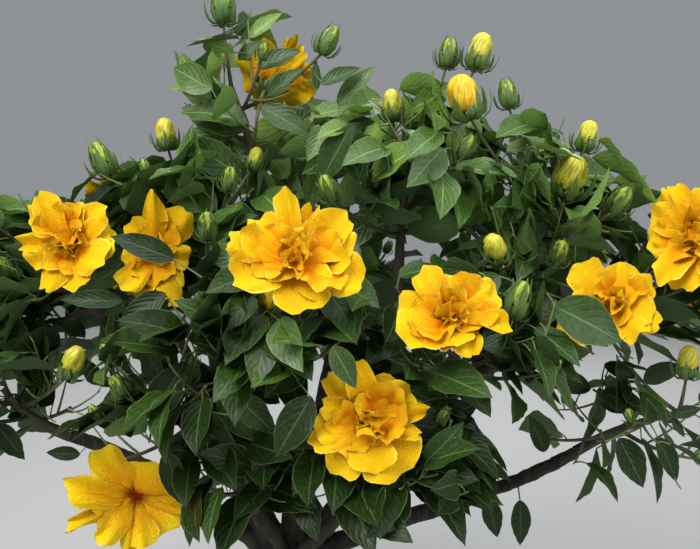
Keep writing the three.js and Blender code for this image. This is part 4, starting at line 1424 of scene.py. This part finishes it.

# %% [markdown]
# ## Petal finishes
# The petals are golden, with orange towards their foot, fine veins that fan out from it and a pale
# rim where the light comes through. Light that scatters inside them was tried, but it turned them
# green against the leaves, so the rim is painted. The inner petals are more orange, and on the flat
# bloom at the lower left the foot of each petal is painted dark red, as the shade down its throat.

# %% Petal finish
GOLD, PALE_RIM = (1.0, 0.63, 0.004), (1.0, 0.8, 0.09)


def petal_finish(name, throat, middle, golden, fades=(0.1, 0.42)):
    finish = Finish(name, Specular_IOR_Level=0.15)
    place, u, v, under, away = finish.two_sided_map()
    waver = finish.cloudy(finish.stretched(place, (5, 3, 1)), 2.0, 3)
    line = ((u * 42 + waver * 6).math("FRACT") - 0.5).math("ABSOLUTE") * 2
    vein = line.between(0.62, 0.98) * (1 - v.between(0.6, 1.0))
    clouds = finish.cloudy(finish.stretched(place, (12, 9, 1)), 3.2, 4)
    depth = v + (waver - 0.5) * 0.22
    lower = finish.mix(depth.between(*fades), throat, middle)
    upper = finish.mix(depth.between(0.38, 0.74), lower, golden)
    edge = v.between(0.86, 1.0) + away.between(0.84, 1.0) * v.between(0.3, 0.6)
    rimmed = finish.mix(edge.math("MINIMUM", 1.0) * 0.8, upper, PALE_RIM)
    mottled = finish.mix(clouds.between(0.46, 0.7) * 0.34, rimmed, middle)
    veined = finish.mix(vein * 0.3, mottled, throat)
    back = finish.mix(under * 0.35, veined, golden)
    height = vein * -0.2 + waver * 0.4 + clouds * 0.6
    finish.set(Base_Color=back, Roughness=0.46 + clouds * 0.16, Normal=finish.bump(height, 0.85, 0.003))
    return finish


petal_finishes = [
    petal_finish("golden petal", (1.0, 0.36, 0.003), (1.0, 0.53, 0.003), GOLD),
    petal_finish("orange petal", (1.0, 0.22, 0.003), (1.0, 0.38, 0.003), (1.0, 0.58, 0.004)),
    # the dark red at the foot of this finish is painted shade down the open bloom's throat
    petal_finish(
        "deep throated petal", (0.32, 0.014, 0.002), (1.0, 0.5, 0.004), (1.0, 0.7, 0.008), fades=(0.1, 0.25)
    ),
]
GOLDEN, ORANGE, SHADED_THROAT = range(3)
print(len(petal_finishes), "petal finishes")

# %% Ruffle one petal
def ruffled(points, length, width, lean, turn, wave, cup, random):
    """A petal bent out from the bloom's axis: lean is its angle to the axis at the foot and the rim."""
    phases = [2 * math.pi * random() for _ in range(6)]
    point = 0.36 * (random() - 0.4)  # a drawn-out tip, or a notch
    edge, along = np.abs(points[:, 0]) * 2, points[:, 1].copy()
    fringe = 0.03 * np.sin(points[:, 0] * 13 + phases[5]) + point * (0.3 - edge) * 0.5
    along += along**5 * fringe
    across = points[:, 0] * width * (1 + 0.15 * np.sin(7 * along + phases[4]))
    thick = points[:, 2] * length * 0.5
    steps = np.linspace(0, 1.3, 53)
    leans = lean[0] + (lean[1] - lean[0]) * steps**1.2
    middle = (leans[1:] + leans[:-1]) / 2
    run, rise = (np.concatenate([[0], np.cumsum(wave_of(middle) / 40)]) for wave_of in (np.sin, np.cos))
    radius, height, angle = (np.interp(along, steps, values) for values in (run, rise, leans))
    swell = 0.6 * along**1.5 * np.sin(points[:, 0] * (5 + 3 * random()) + phases[0])
    swell += 0.32 * along**3 * np.sin(points[:, 0] * (10 + 3 * random()) + phases[1])
    ripple = along * (8 + 4 * random()) + phases[2] + np.sign(points[:, 0]) * phases[3]
    swell += 0.55 * edge**2 * along * np.sin(ripple)
    swell = swell * wave * length + cup * length * edge**2 * along + thick
    out = radius * length - swell * np.cos(angle)
    up = height * length + swell * np.sin(angle)
    swing = turn + 0.35 * (random() - 0.5) * along
    return np.column_stack(
        [out * np.cos(swing) - across * np.sin(swing), out * np.sin(swing) + across * np.cos(swing), up]
    )


print("a petal keeps its", len(petal_shape[0]), "points")

# %% [markdown]
# ## The blooms
# These are double blooms. An outer ring of ten broad petals carries two hearts of upright petals
# side by side, and a narrow tuft stands between them. One ring after another round a single heart
# would make a rose. The outer petals are laid out one by one as the photograph shows them, because
# they make each bloom's outline. The blooms of the back take one loose layout, turned.

# %% Lay out the petals
# the outer petals, seen from the bloom's front: degrees from the right (90 is up), and length and
# width as shares of the bloom's width
OUTER_PETALS = {
    "bloom_centre": [
        (100, 0.56, 0.2), (82, 0.46, 0.14), (64, 0.4, 0.18), (33, 0.54, 0.3), (13, 0.5, 0.27),
        (-21, 0.56, 0.33), (-50, 0.42, 0.3), (-87, 0.46, 0.36), (206, 0.54, 0.36), (177, 0.55, 0.26),
        (133, 0.46, 0.34),
    ],
    "bloom_right_centre": [
        (130, 0.5, 0.24), (86, 0.42, 0.25), (50, 0.44, 0.22), (23, 0.48, 0.3), (-8, 0.54, 0.16),
        (-52, 0.42, 0.22), (-72, 0.38, 0.26), (-96, 0.34, 0.3), (205, 0.5, 0.44), (168, 0.46, 0.3),
    ],
    "bloom_low": [
        (97, 0.58, 0.26), (62, 0.46, 0.3), (37, 0.5, 0.26), (18, 0.55, 0.16), (-16, 0.5, 0.16),
        (-48, 0.58, 0.48), (-86, 0.48, 0.34), (232, 0.55, 0.4), (206, 0.57, 0.26), (184, 0.5, 0.28),
        (160, 0.47, 0.24), (126, 0.55, 0.24),
    ],
    "bloom_low_left": [
        (56, 0.4, 0.48), (-52, 0.47, 0.54), (203, 0.46, 0.46), (135, 0.66, 0.33), (171, 0.78, 0.28),
        (187, 0.68, 0.18), (218, 0.58, 0.24), (253, 0.5, 0.2), (-16, 0.54, 0.11), (-84, 0.48, 0.26),
    ],
    "bloom_left": [
        (128, 0.6, 0.24), (146, 0.56, 0.24), (92, 0.46, 0.28), (52, 0.55, 0.34), (28, 0.46, 0.3),
        (-4, 0.5, 0.34), (-30, 0.54, 0.34), (-68, 0.52, 0.3), (256, 0.56, 0.26), (206, 0.46, 0.34),
        (184, 0.54, 0.2),
    ],
    "bloom_left_inner": [
        (91, 0.72, 0.24), (58, 0.62, 0.36), (122, 0.5, 0.34), (148, 0.34, 0.24), (230, 0.62, 0.3),
        (248, 0.58, 0.3), (-72, 0.68, 0.3), (-54, 0.5, 0.28), (-5, 0.42, 0.3), (195, 0.44, 0.26),
    ],
    "bloom_right": [
        (137, 0.56, 0.44), (100, 0.42, 0.26), (72, 0.48, 0.34), (30, 0.46, 0.36), (-16, 0.44, 0.34),
        (-34, 0.5, 0.24), (-63, 0.5, 0.3), (-100, 0.46, 0.3), (220, 0.74, 0.3), (180, 0.44, 0.36),
    ],
    "bloom_right_edge": [
        (105, 0.56, 0.22), (131, 0.54, 0.2), (154, 0.5, 0.26), (70, 0.48, 0.38), (30, 0.52, 0.36),
        (196, 0.44, 0.34), (243, 0.6, 0.3), (266, 0.54, 0.36), (-50, 0.52, 0.36), (-10, 0.5, 0.34),
    ],
    "bloom_top": [
        (70, 0.5, 0.36), (42, 0.5, 0.3), (127, 0.6, 0.16), (146, 0.54, 0.2), (176, 0.56, 0.38),
        (216, 0.52, 0.4), (240, 0.6, 0.3), (-70, 0.6, 0.36), (-28, 0.44, 0.36), (8, 0.46, 0.3),
    ],
}
LOOSE_PETALS = [
    (88, 0.55, 0.3), (52, 0.5, 0.26), (20, 0.54, 0.36), (-14, 0.48, 0.24), (-45, 0.55, 0.38),
    (-84, 0.5, 0.3), (-118, 0.54, 0.36), (-155, 0.5, 0.28), (172, 0.55, 0.34), (135, 0.5, 0.26),
]
# the inner petals: place of their heart on the line of hearts, count, length, width, lean at foot
# and rim, wave, share of orange ones
Heart = namedtuple("Heart", "place count length width lean wave orange")
HEARTS = [
    Heart(-0.14, 6, 0.31, 0.25, (0.4, 1.1), 0.19, 0.75),
    Heart(0.14, 6, 0.31, 0.25, (0.4, 1.1), 0.19, 0.75),
    Heart(0.0, 8, 0.31, 0.17, (0.0, 0.5), 0.24, 0.45),
]
OPEN_BLOOM = "bloom_low_left"  # it lies open down to its throat, without hearts
# degrees of the line of hearts, and how far the middle lies off the bloom's
HEART_LINES = {
    "bloom_centre": 168, "bloom_right_centre": 20, "bloom_low": 35, "bloom_left": 115, "bloom_left_inner": 80,
    "bloom_right": 60,
}
HEART_SHIFT = {OPEN_BLOOM: (0.17, -0.01), "bloom_centre": (0, -0.06), "bloom_right": (-0.06, -0.04)}
CENTRED = (0, 0)


def outer_petals(name, seed, random):
    """Turn, length, width, lean, wave, cup, finish and middle of each outer petal."""
    turned = [(angle + 47 * seed, long, broad) for angle, long, broad in LOOSE_PETALS]
    layout = OUTER_PETALS.get(name, turned)
    # the open bloom's petals carry painted shade at their foot
    kind = SHADED_THROAT if name == OPEN_BLOOM else GOLDEN
    petals = []
    for i, (angle, long, broad) in enumerate(layout):
        lean = (0.85 + 0.12 * (i % 2), 1.45 + 0.35 * (random() - 0.5) + 0.12 * (i % 3))
        petals.append((math.radians(angle), long, broad * 1.04, lean, 0.14, 0.03, kind, CENTRED))
    return petals


def inner_petals(name, seed, random):
    """The same of the petals that stand round the hearts and in the tuft."""
    line = math.radians(HEART_LINES.get(name, 57 * seed))
    petals = []
    for heart in HEARTS:
        for i in range(heart.count):
            turn = 2 * math.pi * (i + 0.5 * random()) / heart.count + line
            size = 0.75 + 0.45 * random()
            tilt = (heart.lean[0], heart.lean[1] + 0.6 * (random() - 0.5))
            near = 0.03 if heart.place else 0.09 * random()
            middle = tuple(heart.place * of(line) + near * of(turn) for of in (math.cos, math.sin))
            broad = heart.width * (0.75 + 0.5 * random())
            kind = ORANGE if random() < heart.orange else GOLDEN
            petals.append((turn, heart.length * size, broad, tilt, heart.wave, 0.04, kind, middle))
    return petals


print(len(OUTER_PETALS), "blooms laid out,", sum(heart.count for heart in HEARTS), "inner petals each")

# %% Build the blooms
def bloom_axes(way):
    """Right, up and the way the bloom faces, as seen from its front."""
    right = unit(np.cross(UP, way))
    return np.array((right, np.cross(way, right), way))


def bloom_parts(bloom, seed):
    """The petals of a bloom as parts of one mesh, each with the number of its finish."""
    axes = bloom_axes(unit(np.asarray(bloom.facing, float)))
    shift = HEART_SHIFT.get(bloom.name, CENTRED)
    heart = np.asarray(bloom.at, float) + bloom.width * (np.array((*shift, -0.12)) @ axes)
    random = seeded(seed)
    points, *rest = petal_shape
    petals = outer_petals(bloom.name, seed, random)
    if bloom.name != OPEN_BLOOM:
        petals += inner_petals(bloom.name, seed, random)
    parts = []
    for turn, long, broad, lean, wave, cup, kind, middle in petals:
        bent = ruffled(points, long * bloom.width, broad * bloom.width, lean, turn, wave, cup, random)
        # the outer petals cross at their feet and close the heart
        back = -0.015 if middle == CENTRED else 0.0
        bent[:, 0] += bloom.width * (middle[0] + back * math.cos(turn))
        bent[:, 1] += bloom.width * (middle[1] + back * math.sin(turn))
        parts.append(((heart + bent @ axes, *rest), kind))
    return parts


for number, bloom in enumerate(BLOOMS):
    parts = bloom_parts(bloom, 51 + number)
    name = bloom.name.replace("bloom", "petals")
    piece = joined_piece(name, [part for part, _ in parts], petal_finishes[GOLDEN], "petals")
    for finish in petal_finishes[1:]:
        piece.data.materials.append(finish.material)
    kinds = np.concatenate([np.full(len(starts), kind) for (_, _, starts, _), kind in parts])
    piece.data.polygons.foreach_set("material_index", kinds.astype(np.int32))
    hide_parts(bloom.name)
    facing, foot, _ = bloom_frame(bloom)
    cups += cup_parts(foot, facing, 0.19 * bloom.width, number, 0.6)
joined_piece("calyces", cups, calyx_finish, "leaves")

# %% [markdown]
# ## What stands for the masses
# A mass of the frame is shown by leaves of all four finishes, by twigs and by buds, which are joined
# across the whole crown. So the masses' own nodes are hidden, in four groups.

# %% Stand for the masses
names = [mass.name for mass in MASSES]
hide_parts(*names[:5])
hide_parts(*names[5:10])
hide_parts(*names[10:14])
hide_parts(*names[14:])
print("masses replaced", len(names))

# %% [markdown]
# ## The end
# The finished shrub may stand a little proud of the solids, where leaf tips reach out of their mass.
# The sizes of both are kept, and what stands proud is printed beside three per cent of the solids'
# size along that axis, plus ten millimetres.

# %% Sizes and the end
full_box = [list(corner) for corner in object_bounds()]
for axis in range(3):
    allowed = 0.03 * (cad_box[1][axis] - cad_box[0][axis]) + 0.01
    low, high = cad_box[0][axis] - full_box[0][axis], full_box[1][axis] - cad_box[1][axis]
    low, high, allowed = (round(1000 * value) for value in (low, high, allowed))
    print("xyz"[axis], "stands proud by", low, "and", high, "mm of", allowed)
start_alone()
